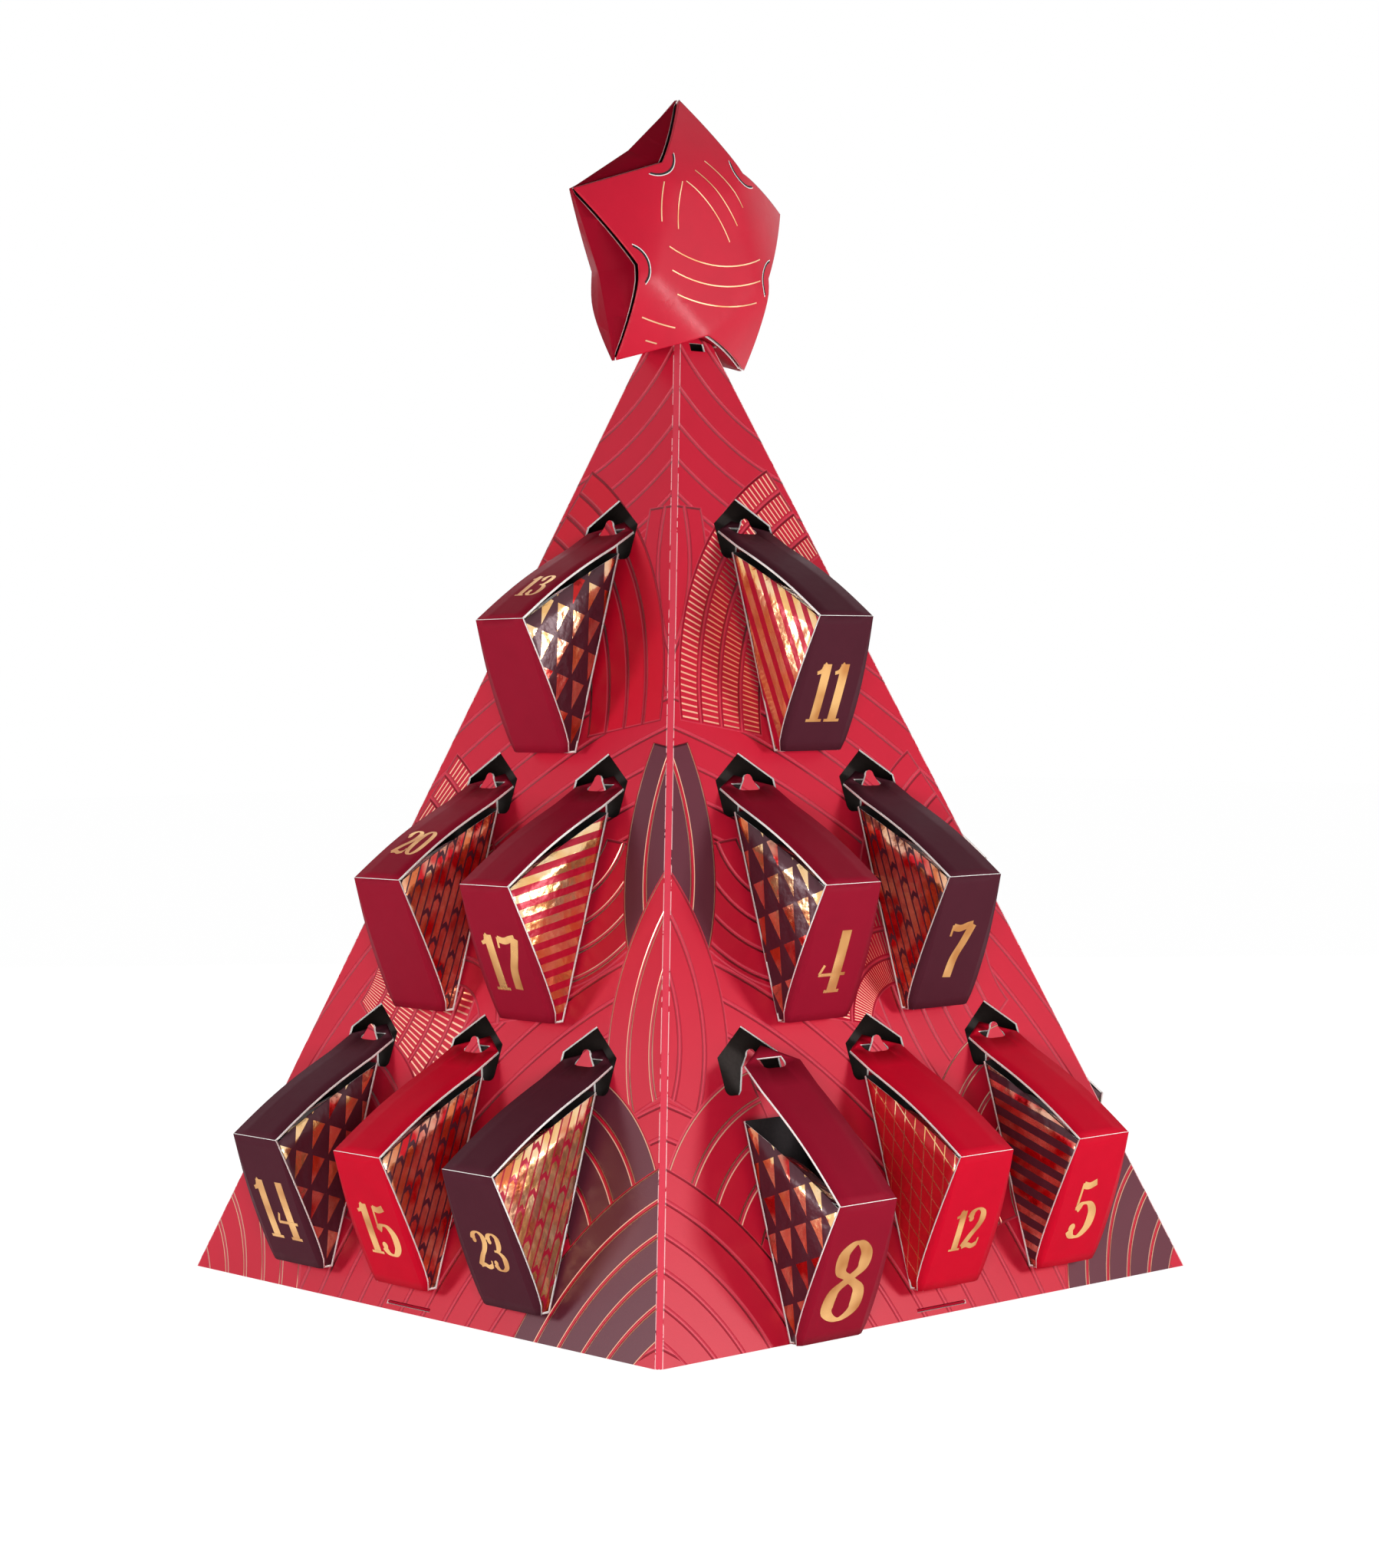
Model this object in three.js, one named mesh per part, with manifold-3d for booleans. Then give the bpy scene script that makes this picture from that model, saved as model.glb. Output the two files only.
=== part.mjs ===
// Advent calendar: a four-sided card tree, twenty-four numbered gift boxes hanging from
// its windows, and a puffed star on its tip. Millimetres, +Z up. The origin is the middle
// of the tree's foot, on the table. The faces look along +X, +Y, -X and -Y.
import * as THREE from 'three';
import { mergeVertices } from 'three/addons/utils/BufferGeometryUtils.js';
import Module from 'manifold-3d';

const wasm = await Module();
wasm.setup();

// Clearance between pieces that touch
const SEAT_GAP = 0.3;
// How far a cutter runs past what it cuts
const CUT_PAST = 3;
// How far two joined parts of one piece reach into each other
const JOIN = 0.3;

// Tree: one card shell of four faces with a narrow creased strip along each hip
const FOOT_SIDE = 320;
const PEAK_HEIGHT = 450;
const TIP_CUT = 16;
const TREE_CARD = 1;
const HIP_STRIP = 2.8;

// Windows and the tongues that the boxes hang from. The top row is measured down the
// slope from the peak, the bottom row up the slope from the foot.
const TOP_ROW_DROP = 109.6;
const BOTTOM_ROW_RISE = 131;
const ROWS = 3;
const COLUMN_PITCH = 37;
const WINDOW_GABLE = 12.2;
const WINDOW_HEIGHT = 27;
const WINDOW_SIDE_CLEARANCE = 1.5;
const NOTCH_RADIUS = 3;
const TONGUE_LENGTH = 16.8;
const TONGUE_ROOT_WIDTH = 17;
const TONGUE_NECK_WIDTH = 11.6;
const TONGUE_NECK_RISE = 9.6;
const TONGUE_TIP_WIDTH = 5;
const TONGUE_LIFT = THREE.MathUtils.degToRad(8);

// Slots near the foot for the base panel, and under the star
const FOOT_SLOT_RISE = 2.2;
const FOOT_TAB_WIDTH = 29;
const FOOT_TAB_CARD = 0.9;
const BASE_CARD = 1;
const BASE_LIP_REACH = 2.6;
const TIP_SLOT_WIDTH = 8.5;
const TIP_SLOT_HEIGHT = 3.6;
const TIP_SLOT_BELOW_TIP = 20;

// Carton: the wedge-shaped tray of a gift box. Drops are measured down the slope from
// the tip of its window, reaches straight out from the face.
const BOX_CARD = 0.6;
const CARTON_WIDTH = 32;
const BACK_TOP_DROP = 28;
const BACK_TOP_REACH = 5;
const FRONT_TOP_DROP = 73.5;
const FRONT_TOP_REACH = 47.5;
const FRONT_FOOT_DROP = 120.8;
const FRONT_FOOT_REACH = 7;
const BACK_FOOT_DROP = 118.5;
const BACK_FOOT_REACH = 0.4;
const FRONT_BOW = 1;
const WALL_TOP_SINK = 1.4;
const FLANGE_WIDTH = 4.8;
const FLANGE_WIDEST = 0.74;
const FLANGE_END_SHARE = 0.5;
const FLANGE_SWEEP = THREE.MathUtils.degToRad(16);
const FLAP_DEPTH = 8.5;
const FLAP_START = 7;
const FLAP_LENGTH = 42;
const FLAP_SINK = 2;
const FLAP_CORNER = 7;

// Lid: a bowed panel creased at its back edge, with a gabled hanging tab
const LID_SIDE_INSET = 0.4;
const LID_BACK_DROP = 26;
const LID_BACK_REACH = 9;
const LID_BOW = 1.7;
const TAB_LENGTH = 23.4;
const TAB_GABLE = 9.7;
const TAB_DIP = THREE.MathUtils.degToRad(40);
const HOLE_SIDE_CLEARANCE = 1.2;
const HOLE_BELOW_TONGUE = 1.6;
const HOLE_ABOVE_TONGUE = 4.2;
const HOLE_CORNER = 3.4;

// The box that has come off its tongue stands on the table with its lid a little raised
const LOOSE_BOX = 8;
const LOOSE_LID_LIFT = THREE.MathUtils.degToRad(12);

// Star: a puffed front sheet over a back cup with side walls
const STAR_CENTRE_ABOVE_TIP = 28;
const STAR_TIP_RADIUS = 66;
const STAR_CORNER_RADIUS = 41.5;
const STAR_POINTS = 5;
const STAR_CARD = 0.6;
const STAR_TIP_DEPTH = 1.6;
const STAR_CENTRE_DEPTH = 20;
const STAR_WAIST_RADIUS = 50;
const STAR_FRONT_FLAT = 23;
const STAR_BACK_FLAT = 5;
const STAR_LOW_FLAT = 32;
const STAR_LOW_POINTS = [2, 3];
const STAR_FALL_CURVE = 1.5;
const STAR_FALL_BLEND = 3;
const STAR_EDGE_STEPS = 4;
const STAR_RINGS = 4;

// Steps in the curved outlines
const CURVE_STEPS = 3;
const BOW_STEPS = 4;
const FLANGE_STEPS = 8;

// Box numbers on each face, from the top row down and from left to right
const FACE_NUMBERS = {
  right: [11, 4, 7, 8, 12, 5],
  back_right: [22, 1, 16, 9, 24, 3],
  back_left: [6, 19, 10, 2, 21, 18],
  left: [13, 20, 17, 14, 15, 23],
};
const FACE_TURN = { right: 0, back_right: 1, back_left: 2, left: 3 };
const TIP_SLOT_FACES = ['right', 'back_left'];

// Sizes that follow from the ones above
const HALF_FOOT = FOOT_SIDE / 2;
const LEAN = Math.atan(HALF_FOOT / PEAK_HEIGHT);
const TOP_CUT_HEIGHT = PEAK_HEIGHT - TIP_CUT;
const TIP_SLOT_RISE = TOP_CUT_HEIGHT - TIP_SLOT_BELOW_TIP;
const STAR_CENTRE_HEIGHT = TOP_CUT_HEIGHT + STAR_CENTRE_ABOVE_TIP;
const TOP_ROW_RISE = Math.hypot(HALF_FOOT, PEAK_HEIGHT) - TOP_ROW_DROP;
const ROW_PITCH = (TOP_ROW_RISE - BOTTOM_ROW_RISE) / (ROWS - 1);
const LEVEL_CARD = TREE_CARD / Math.cos(LEAN);
const LID_WIDTH = CARTON_WIDTH - 2 * LID_SIDE_INSET;
const WINDOW_WIDTH = LID_WIDTH + 2 * WINDOW_SIDE_CLEARANCE;

const card = (name, color) => {
  const material = new THREE.MeshStandardMaterial({ color, roughness: 0.55, metalness: 0 });
  material.name = name;
  return material;
};
const CRIMSON = card('crimson_card', 0xc8283c);
const PLUM = card('plum_card', 0x4b2a35);
const BURGUNDY = card('burgundy_card', 0x8e1a38);
const BRIGHT_RED = card('bright_red_card', 0xd2283c);
const DARK_LINER = card('dark_liner', 0x2a1218);

// Colour of each box's sleeve
const SLEEVES = { plum: PLUM, burgundy: BURGUNDY, bright: BRIGHT_RED };
const SLEEVE_OF = {
  plum: [11, 7, 14, 23, 5, 1, 9, 19, 21],
  burgundy: [13, 20, 17, 4, 8, 16, 3, 6, 2],
  bright: [15, 12, 22, 24, 10, 18],
};
const sleeveOf = (number) => SLEEVES[Object.keys(SLEEVE_OF).find((key) => SLEEVE_OF[key].includes(number))];

// Solids for cutting and joining

function toSolid(geometry, matrix = new THREE.Matrix4()) {
  const bare = geometry.index ? geometry.toNonIndexed() : geometry.clone();
  bare.deleteAttribute('normal');
  bare.deleteAttribute('uv');
  bare.applyMatrix4(matrix);
  const merged = mergeVertices(bare, 1e-4);
  return new wasm.Manifold(new wasm.Mesh({
    numProp: 3,
    vertProperties: new Float32Array(merged.attributes.position.array),
    triVerts: new Uint32Array(merged.index.array),
  }));
}

function toGeometry(solid) {
  const mesh = solid.getMesh();
  const geometry = new THREE.BufferGeometry();
  geometry.setAttribute('position', new THREE.BufferAttribute(new Float32Array(mesh.vertProperties), 3));
  geometry.setIndex(new THREE.BufferAttribute(new Uint32Array(mesh.triVerts), 1));
  geometry.computeVertexNormals();
  return geometry;
}

// A place: where a piece's own x, y and z axes point, and its origin
function place(x, y, z, origin = new THREE.Vector3()) {
  return new THREE.Matrix4().makeBasis(x, y, z).setPosition(origin);
}

const axis = (x, y, z) => new THREE.Vector3(x, y, z);
const X_AXIS = axis(1, 0, 0);

function block(low, high) {
  const size = high.clone().sub(low);
  const middle = low.clone().add(high).multiplyScalar(0.5);
  const shift = new THREE.Matrix4().makeTranslation(middle.x, middle.y, middle.z);
  return toSolid(new THREE.BoxGeometry(size.x, size.y, size.z), shift);
}

function plate(shape, thickness, matrix) {
  const geometry = new THREE.ExtrudeGeometry(shape, {
    depth: thickness, bevelEnabled: false, curveSegments: CURVE_STEPS,
  });
  geometry.translate(0, 0, -thickness / 2);
  return toSolid(geometry, matrix);
}

// Two level outlines with the same number of corners, joined into a tapered solid
function taper(lower, lowerHeight, upper, upperHeight) {
  const count = lower.length;
  const positions = [
    ...lower.flatMap((point) => [point.x, point.y, lowerHeight]),
    ...upper.flatMap((point) => [point.x, point.y, upperHeight]),
  ];
  const triangles = [];
  for (const [a, b, c] of THREE.ShapeUtils.triangulateShape(lower, [])) {
    triangles.push(c, b, a, a + count, b + count, c + count);
  }
  lower.forEach((_, corner) => {
    const next = (corner + 1) % count;
    triangles.push(corner, next, next + count, corner, next + count, corner + count);
  });
  const geometry = new THREE.BufferGeometry();
  geometry.setAttribute('position', new THREE.Float32BufferAttribute(positions, 3));
  geometry.setIndex(triangles);
  return toSolid(geometry);
}

// Box profiles: points (slope, out) beside the window tip, slope counted upwards

const profilePoint = (drop, reach) => new THREE.Vector2(-drop, reach);
const FRONT_TOP = profilePoint(FRONT_TOP_DROP, FRONT_TOP_REACH);
const FRONT_FOOT = profilePoint(FRONT_FOOT_DROP, FRONT_FOOT_REACH);
const BACK_FOOT = profilePoint(BACK_FOOT_DROP, BACK_FOOT_REACH);
const BACK_TOP = profilePoint(BACK_TOP_DROP, BACK_TOP_REACH);
const LID_BACK = profilePoint(LID_BACK_DROP, LID_BACK_REACH);
const FRONT_RUN = FRONT_FOOT.clone().sub(FRONT_TOP).normalize();
const LID_RUN = LID_BACK.clone().sub(FRONT_TOP).normalize();
const TAB_RUN = new THREE.Vector2(Math.cos(TAB_DIP), -Math.sin(TAB_DIP));
const TONGUE_ROOT = profilePoint(WINDOW_HEIGHT, -TREE_CARD / 2);
const TONGUE_RUN = new THREE.Vector2(Math.cos(TONGUE_LIFT), Math.sin(TONGUE_LIFT));

// The same path moved sideways to its left, with mitred corners
function offsetPath(path, distance) {
  const leftOf = (from, to) => {
    const run = to.clone().sub(from).normalize();
    return new THREE.Vector2(-run.y, run.x);
  };
  return path.map((point, step) => {
    const before = step > 0 ? leftOf(path[step - 1], point) : leftOf(point, path[step + 1]);
    const after = step < path.length - 1 ? leftOf(point, path[step + 1]) : before;
    const mitre = before.clone().add(after).normalize();
    return point.clone().addScaledVector(mitre, distance / mitre.dot(before));
  });
}

// A profile drawn in (slope, out) and pushed sideways, centred on x = middle
const SIDEWAYS = [axis(0, 1, 0), axis(0, 0, 1), X_AXIS];
function sidewaysPrism(points, width, middle = 0) {
  return plate(new THREE.Shape(points), width, place(...SIDEWAYS, axis(middle, 0, 0)));
}

// Points from one crease towards the next one, bowed to the run's right; the last crease is left out
function bowedRun(from, to, bow) {
  const run = to.clone().sub(from);
  const right = new THREE.Vector2(run.y, -run.x).normalize();
  const points = [];
  for (let step = 0; step < BOW_STEPS; step += 1) {
    const share = step / BOW_STEPS;
    points.push(from.clone().addScaledVector(run, share).addScaledVector(right, bow * Math.sin(Math.PI * share)));
  }
  return points;
}

// The box is one creased sheet: its outer line from the tab's tip over the lid to the front
// top crease, down the front panel, and up the back wall
const TAB_TIP = LID_BACK.clone().addScaledVector(TAB_RUN, TAB_LENGTH);
const LID_LINE = [TAB_TIP, ...bowedRun(LID_BACK, FRONT_TOP, LID_BOW)];
const CARTON_LINE = [...bowedRun(FRONT_TOP, FRONT_FOOT, FRONT_BOW), FRONT_FOOT, BACK_FOOT, BACK_TOP];
const SHEET_OUTER = [...LID_LINE, ...CARTON_LINE];
const SHEET_INNER = offsetPath(SHEET_OUTER, BOX_CARD);
const HINGE_STEP = LID_LINE.length;

// How far the loose box has slid down the slope to stand on the table
const heightUpSlope = (point) => (BOTTOM_ROW_RISE + point.x) * Math.cos(LEAN) + point.y * Math.sin(LEAN);
const LOOSE_DROP = (Math.min(heightUpSlope(FRONT_FOOT), heightUpSlope(BACK_FOOT)) - SEAT_GAP) / Math.cos(LEAN);

// The part of the sheet between two steps, kept half a gap away from the hinge crease
function sheetPart(from, to, hingeRun, width) {
  const side = (line) => line.slice(from, to + 1).map((point, index) => (
    from + index === HINGE_STEP ? point.clone().addScaledVector(hingeRun, SEAT_GAP / 2) : point
  ));
  return sidewaysPrism([...side(SHEET_OUTER), ...side(SHEET_INNER).reverse()], width);
}

// How far along the lid's tab the tongue crosses it
function tabCrossing() {
  const between = TONGUE_ROOT.clone().sub(LID_BACK);
  return between.cross(TONGUE_RUN) / TAB_RUN.cross(TONGUE_RUN);
}

const CROSSING_ALONG_TAB = tabCrossing();
const HOLE_WIDTH = TONGUE_NECK_WIDTH + 2 * HOLE_SIDE_CLEARANCE;

// Tree

// Corners of one face's wall in plan, for a tree that is 2 * half wide at that height
function facePlan(half) {
  const leg = HIP_STRIP / Math.SQRT2;
  const seam = SEAT_GAP / 2 * Math.SQRT2;
  const side = (reach, strip) => {
    const middle = (strip + seam) / 2;
    return [new THREE.Vector2(middle, middle - seam), new THREE.Vector2(reach, strip - reach)];
  };
  const mirror = (point) => new THREE.Vector2(point.x, -point.y);
  const [outerMiddle, outerCorner] = side(half, 2 * half - leg);
  const [innerMiddle, innerCorner] = side(half - LEVEL_CARD, 2 * half - leg - LEVEL_CARD * Math.SQRT2);
  return [
    mirror(outerMiddle), mirror(outerCorner), outerCorner, outerMiddle,
    innerMiddle, innerCorner, mirror(innerCorner), mirror(innerMiddle),
  ];
}

const halfWidthAt = (height) => (PEAK_HEIGHT - height) * Math.tan(LEAN);

// Places and turns a face's own frame: x to the right, y up the slope, z outwards
function faceFrame(target, turn) {
  target.rotation.set(Math.PI / 2 - LEAN, 0, Math.PI / 2 * (1 + turn), 'ZYX');
  target.position.set(HALF_FOOT, 0, 0).applyAxisAngle(axis(0, 0, 1), Math.PI / 2 * turn);
  return target;
}

// Where the boxes hang on a face, from the top row down and from left to right
function windowSpots() {
  const spots = [];
  for (let row = 0; row < ROWS; row += 1) {
    for (let column = 0; column <= row; column += 1) {
      spots.push(new THREE.Vector2((2 * column - row) * COLUMN_PITCH, TOP_ROW_RISE - row * ROW_PITCH));
    }
  }
  return spots;
}

function windowShape() {
  const half = WINDOW_WIDTH / 2;
  const root = TONGUE_ROOT_WIDTH / 2;
  const floor = -WINDOW_HEIGHT - NOTCH_RADIUS / 2;
  const shape = new THREE.Shape();
  shape.moveTo(0, 0);
  shape.lineTo(-half, -WINDOW_GABLE);
  shape.lineTo(-half, floor + NOTCH_RADIUS);
  shape.absarc(-half + NOTCH_RADIUS, floor + NOTCH_RADIUS, NOTCH_RADIUS, Math.PI, 1.5 * Math.PI);
  shape.lineTo(-root - NOTCH_RADIUS / 2, floor);
  shape.lineTo(-root, -WINDOW_HEIGHT);
  shape.lineTo(root, -WINDOW_HEIGHT);
  shape.lineTo(root + NOTCH_RADIUS / 2, floor);
  shape.lineTo(half - NOTCH_RADIUS, floor);
  shape.absarc(half - NOTCH_RADIUS, floor + NOTCH_RADIUS, NOTCH_RADIUS, -Math.PI / 2, 0);
  shape.lineTo(half, -WINDOW_GABLE);
  return shape;
}

function tongueShape() {
  const root = TONGUE_ROOT_WIDTH / 2;
  const neck = TONGUE_NECK_WIDTH / 2;
  const tip = TONGUE_TIP_WIDTH / 2;
  const shape = new THREE.Shape();
  shape.moveTo(-root, -JOIN);
  shape.lineTo(root, -JOIN);
  shape.lineTo(neck, TONGUE_NECK_RISE);
  shape.absarc(0, TONGUE_LENGTH - tip, tip, 0, Math.PI);
  shape.lineTo(-neck, TONGUE_NECK_RISE);
  return shape;
}

function buildFace(hasTipSlot) {
  const frame = faceFrame(new THREE.Object3D(), 0);
  frame.updateMatrix();
  const spotMatrix = (spot) => frame.matrix.clone().multiply(
    new THREE.Matrix4().makeTranslation(spot.x, spot.y, 0),
  );
  let face = taper(facePlan(HALF_FOOT), 0, facePlan(halfWidthAt(TOP_CUT_HEIGHT)), TOP_CUT_HEIGHT);
  const lift = place(
    X_AXIS, axis(0, TONGUE_RUN.x, TONGUE_RUN.y), axis(0, -TONGUE_RUN.y, TONGUE_RUN.x),
    axis(0, TONGUE_ROOT.x, TONGUE_ROOT.y),
  );
  for (const spot of windowSpots()) {
    face = face.subtract(plate(windowShape(), 2 * CUT_PAST, spotMatrix(spot)));
  }
  for (const spot of windowSpots()) {
    face = face.add(plate(tongueShape(), TREE_CARD, spotMatrix(spot).multiply(lift)));
  }
  const slotHalf = FOOT_TAB_WIDTH / 2 + SEAT_GAP;
  const slotTop = FOOT_SLOT_RISE + FOOT_TAB_CARD + 2 * SEAT_GAP;
  face = face.subtract(block(
    axis(HALF_FOOT - 2 * CUT_PAST, -slotHalf, FOOT_SLOT_RISE), axis(HALF_FOOT + CUT_PAST, slotHalf, slotTop),
  ));
  if (hasTipSlot) {
    const reach = halfWidthAt(TIP_SLOT_RISE);
    face = face.subtract(block(
      axis(reach - 2 * CUT_PAST, -TIP_SLOT_WIDTH / 2, TIP_SLOT_RISE),
      axis(reach + CUT_PAST, TIP_SLOT_WIDTH / 2, TIP_SLOT_RISE + TIP_SLOT_HEIGHT),
    ));
  }
  return toGeometry(face);
}

function buildBase() {
  const leg = HIP_STRIP / Math.SQRT2;
  const half = halfWidthAt(BASE_CARD) - LEVEL_CARD - SEAT_GAP;
  const corner = half - leg;
  const plan = [[half, -corner], [half, corner], [corner, half], [-corner, half],
    [-half, corner], [-half, -corner], [-corner, -half], [corner, -half]];
  const outline = plan.map(([x, y]) => new THREE.Vector2(x, y));
  let base = taper(outline, 0, outline, BASE_CARD);
  const tabFloor = FOOT_SLOT_RISE + SEAT_GAP;
  const tabTop = tabFloor + FOOT_TAB_CARD;
  const lipOut = halfWidthAt(tabTop) - LEVEL_CARD - SEAT_GAP;
  const lipIn = lipOut - BASE_LIP_REACH / 2;
  const tabEnd = halfWidthAt(tabTop);
  for (let side = 0; side < 4; side += 1) {
    const lip = block(axis(lipIn, -FOOT_TAB_WIDTH / 2, BASE_CARD - JOIN), axis(lipOut, FOOT_TAB_WIDTH / 2, tabTop));
    const tab = block(axis(lipIn, -FOOT_TAB_WIDTH / 2, tabFloor), axis(tabEnd, FOOT_TAB_WIDTH / 2, tabTop));
    const turn = THREE.MathUtils.radToDeg(Math.PI / 2 * side);
    base = base.add(lip.add(tab).rotate([0, 0, turn]));
  }
  return toGeometry(base);
}

// Gift box

// How far a flange stands out at a share of the front panel's height, from its top down
function flangeReach(share) {
  if (share < FLANGE_WIDEST) return FLANGE_WIDTH * Math.sin(Math.PI / 2 * share / FLANGE_WIDEST);
  const past = (share - FLANGE_WIDEST) / (1 - FLANGE_WIDEST);
  return FLANGE_WIDTH * THREE.MathUtils.lerp(1, FLANGE_END_SHARE, 1 - Math.sqrt(1 - past ** 2));
}

// The flange folded back beside the front panel; side is +1 for right and -1 for left
function frontFlange(side) {
  const run = FRONT_RUN;
  const length = FRONT_TOP.distanceTo(FRONT_FOOT);
  const points = [new THREE.Vector2(-JOIN, WALL_TOP_SINK)];
  for (let step = 1; step <= FLANGE_STEPS; step += 1) {
    const share = step / FLANGE_STEPS;
    points.push(new THREE.Vector2(flangeReach(share), length * share));
  }
  points.push(new THREE.Vector2(-JOIN, length));
  const outline = points.map((point) => new THREE.Vector2(side * point.x, point.y));
  const sweep = axis(Math.cos(FLANGE_SWEEP), 0, 0);
  const inward = axis(0, -run.y, run.x);
  const sideways = sweep.addScaledVector(inward, side * Math.sin(FLANGE_SWEEP));
  const down = axis(0, run.x, run.y);
  const outward = sideways.clone().cross(down);
  const origin = axis(side * (CARTON_WIDTH / 2 - JOIN / 2), FRONT_TOP.x, FRONT_TOP.y);
  origin.addScaledVector(inward, BOX_CARD);
  return plate(new THREE.Shape(outline), BOX_CARD, place(sideways, down, outward, origin));
}

// A dust flap that folds in from a side wall's top edge, below the lid
function dustFlap(side) {
  const run = BACK_TOP.clone().sub(FRONT_TOP).normalize();
  const inner = FLAP_DEPTH + JOIN;
  const shape = new THREE.Shape();
  shape.moveTo(0, 0);
  shape.lineTo(side * inner, 0);
  shape.lineTo(side * inner, FLAP_LENGTH - FLAP_CORNER);
  shape.quadraticCurveTo(side * inner, FLAP_LENGTH, side * (inner - FLAP_CORNER), FLAP_LENGTH);
  shape.lineTo(0, FLAP_LENGTH);
  const along = axis(0, run.x, run.y);
  const up = X_AXIS.clone().cross(along);
  const origin = axis(-side * (CARTON_WIDTH / 2 - JOIN), FRONT_TOP.x, FRONT_TOP.y);
  origin.addScaledVector(along, FLAP_START).addScaledVector(up, -FLAP_SINK);
  return plate(shape, BOX_CARD, place(X_AXIS, along, up, origin));
}

function buildCarton() {
  let carton = sheetPart(HINGE_STEP, SHEET_OUTER.length - 1, FRONT_RUN, CARTON_WIDTH);
  const wallMiddle = (CARTON_WIDTH - BOX_CARD) / 2;
  const wall = [FRONT_TOP.clone().addScaledVector(FRONT_RUN, WALL_TOP_SINK), ...CARTON_LINE.slice(1)];
  for (const side of [-1, 1]) {
    carton = carton.add(sidewaysPrism(wall, BOX_CARD, side * wallMiddle));
    carton = carton.add(frontFlange(side));
    carton = carton.add(dustFlap(side));
  }
  return toGeometry(carton);
}

function holeShape() {
  const half = HOLE_WIDTH / 2;
  const low = CROSSING_ALONG_TAB - HOLE_BELOW_TONGUE;
  const high = CROSSING_ALONG_TAB + HOLE_ABOVE_TONGUE;
  const shape = new THREE.Shape();
  shape.moveTo(-half, high);
  shape.lineTo(-half, low + HOLE_CORNER);
  shape.quadraticCurveTo(-half, low, -half + HOLE_CORNER, low);
  shape.lineTo(half - HOLE_CORNER, low);
  shape.quadraticCurveTo(half, low, half, low + HOLE_CORNER);
  shape.lineTo(half, high);
  return shape;
}

function buildLid() {
  const onTab = place(
    X_AXIS, axis(0, TAB_RUN.x, TAB_RUN.y), axis(0, -TAB_RUN.y, TAB_RUN.x),
    axis(0, LID_BACK.x, LID_BACK.y),
  );
  let lid = sheetPart(0, HINGE_STEP, LID_RUN, LID_WIDTH);
  const edge = LID_WIDTH / 2;
  for (const side of [-1, 1]) {
    const corner = new THREE.Shape();
    corner.moveTo(0, TAB_LENGTH);
    corner.lineTo(side * edge, TAB_LENGTH - TAB_GABLE);
    corner.lineTo(side * (edge + CUT_PAST), TAB_LENGTH - TAB_GABLE);
    corner.lineTo(side * (edge + CUT_PAST), TAB_LENGTH + CUT_PAST);
    corner.lineTo(0, TAB_LENGTH + CUT_PAST);
    lid = lid.subtract(plate(corner, 2 * CUT_PAST, onTab));
  }
  return toGeometry(lid.subtract(plate(holeShape(), 2 * CUT_PAST, onTab)));
}

// The lid turns about the crease along the carton's front top edge
function placeLid(mesh, lift) {
  mesh.geometry = mesh.geometry.clone().translate(0, -FRONT_TOP.x, -FRONT_TOP.y);
  mesh.position.set(0, FRONT_TOP.x, FRONT_TOP.y);
  mesh.rotation.x = lift;
}

// Star

// A point of the star's plane at a radius, some tenths of a turn on from the top tip
function starPoint(radius, tenths) {
  const turn = (tenths * Math.PI) / STAR_POINTS;
  return new THREE.Vector2(radius * Math.sin(turn), radius * Math.cos(turn));
}

// One loop of the star's outline, shrunk about its centre. Its inner corners lie at the
// given radius, apart from the one over the tree, which stays at the sheets' own.
function starOutline(inset, cornerRadius = STAR_CORNER_RADIUS) {
  const edgeLength = starPoint(STAR_TIP_RADIUS, 0).distanceTo(starPoint(cornerRadius, 1));
  const edgeDistance = (STAR_TIP_RADIUS * cornerRadius * Math.sin(Math.PI / STAR_POINTS)) / edgeLength;
  const shrink = 1 - inset / edgeDistance;
  const corner = (tenths) => {
    if (tenths % 2 === 0) return starPoint(STAR_TIP_RADIUS, tenths);
    return starPoint(tenths === STAR_POINTS ? STAR_CORNER_RADIUS : cornerRadius, tenths);
  };
  const loop = [];
  for (let edge = 0; edge < 2 * STAR_POINTS; edge += 1) {
    for (let step = 0; step < STAR_EDGE_STEPS; step += 1) {
      const outer = corner(edge).lerp(corner(edge + 1), step / STAR_EDGE_STEPS);
      loop.push({ outer, flat: outer.clone().multiplyScalar(shrink) });
    }
  }
  return loop;
}

// How far a puffed sheet stands out: it is fullest in the middle and falls off towards each
// tip. Beside the tree, towards the two low tips, it stays full further out.
function puffHeight(place, flatUpTo) {
  let sum = 0;
  for (let point = 0; point < STAR_POINTS; point += 1) {
    const along = place.dot(starPoint(1, 2 * point));
    const flat = STAR_LOW_POINTS.includes(point) ? STAR_LOW_FLAT : flatUpTo;
    const past = Math.max(along - flat, 0) / (STAR_TIP_RADIUS - flat);
    sum += past ** (STAR_FALL_CURVE * STAR_FALL_BLEND);
  }
  const fall = Math.min(sum ** (1 / STAR_FALL_BLEND), 1);
  return THREE.MathUtils.lerp(STAR_CENTRE_DEPTH, STAR_TIP_DEPTH, fall);
}

const frontHeight = (place) => puffHeight(place, STAR_FRONT_FLAT);
const backHeight = (place) => -puffHeight(place, STAR_BACK_FLAT);

// Rings of a puffed sheet from its centre out to the loop, moved by a shift along x
function puffedRings(loop, heightAt, shift) {
  const rings = [];
  for (let ring = 1; ring <= STAR_RINGS; ring += 1) {
    const share = ring / STAR_RINGS;
    rings.push(loop.map(({ outer, flat }) => {
      const height = heightAt(outer.clone().multiplyScalar(share)) + shift;
      return axis(height, flat.x * share, flat.y * share);
    }));
  }
  return rings;
}

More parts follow.
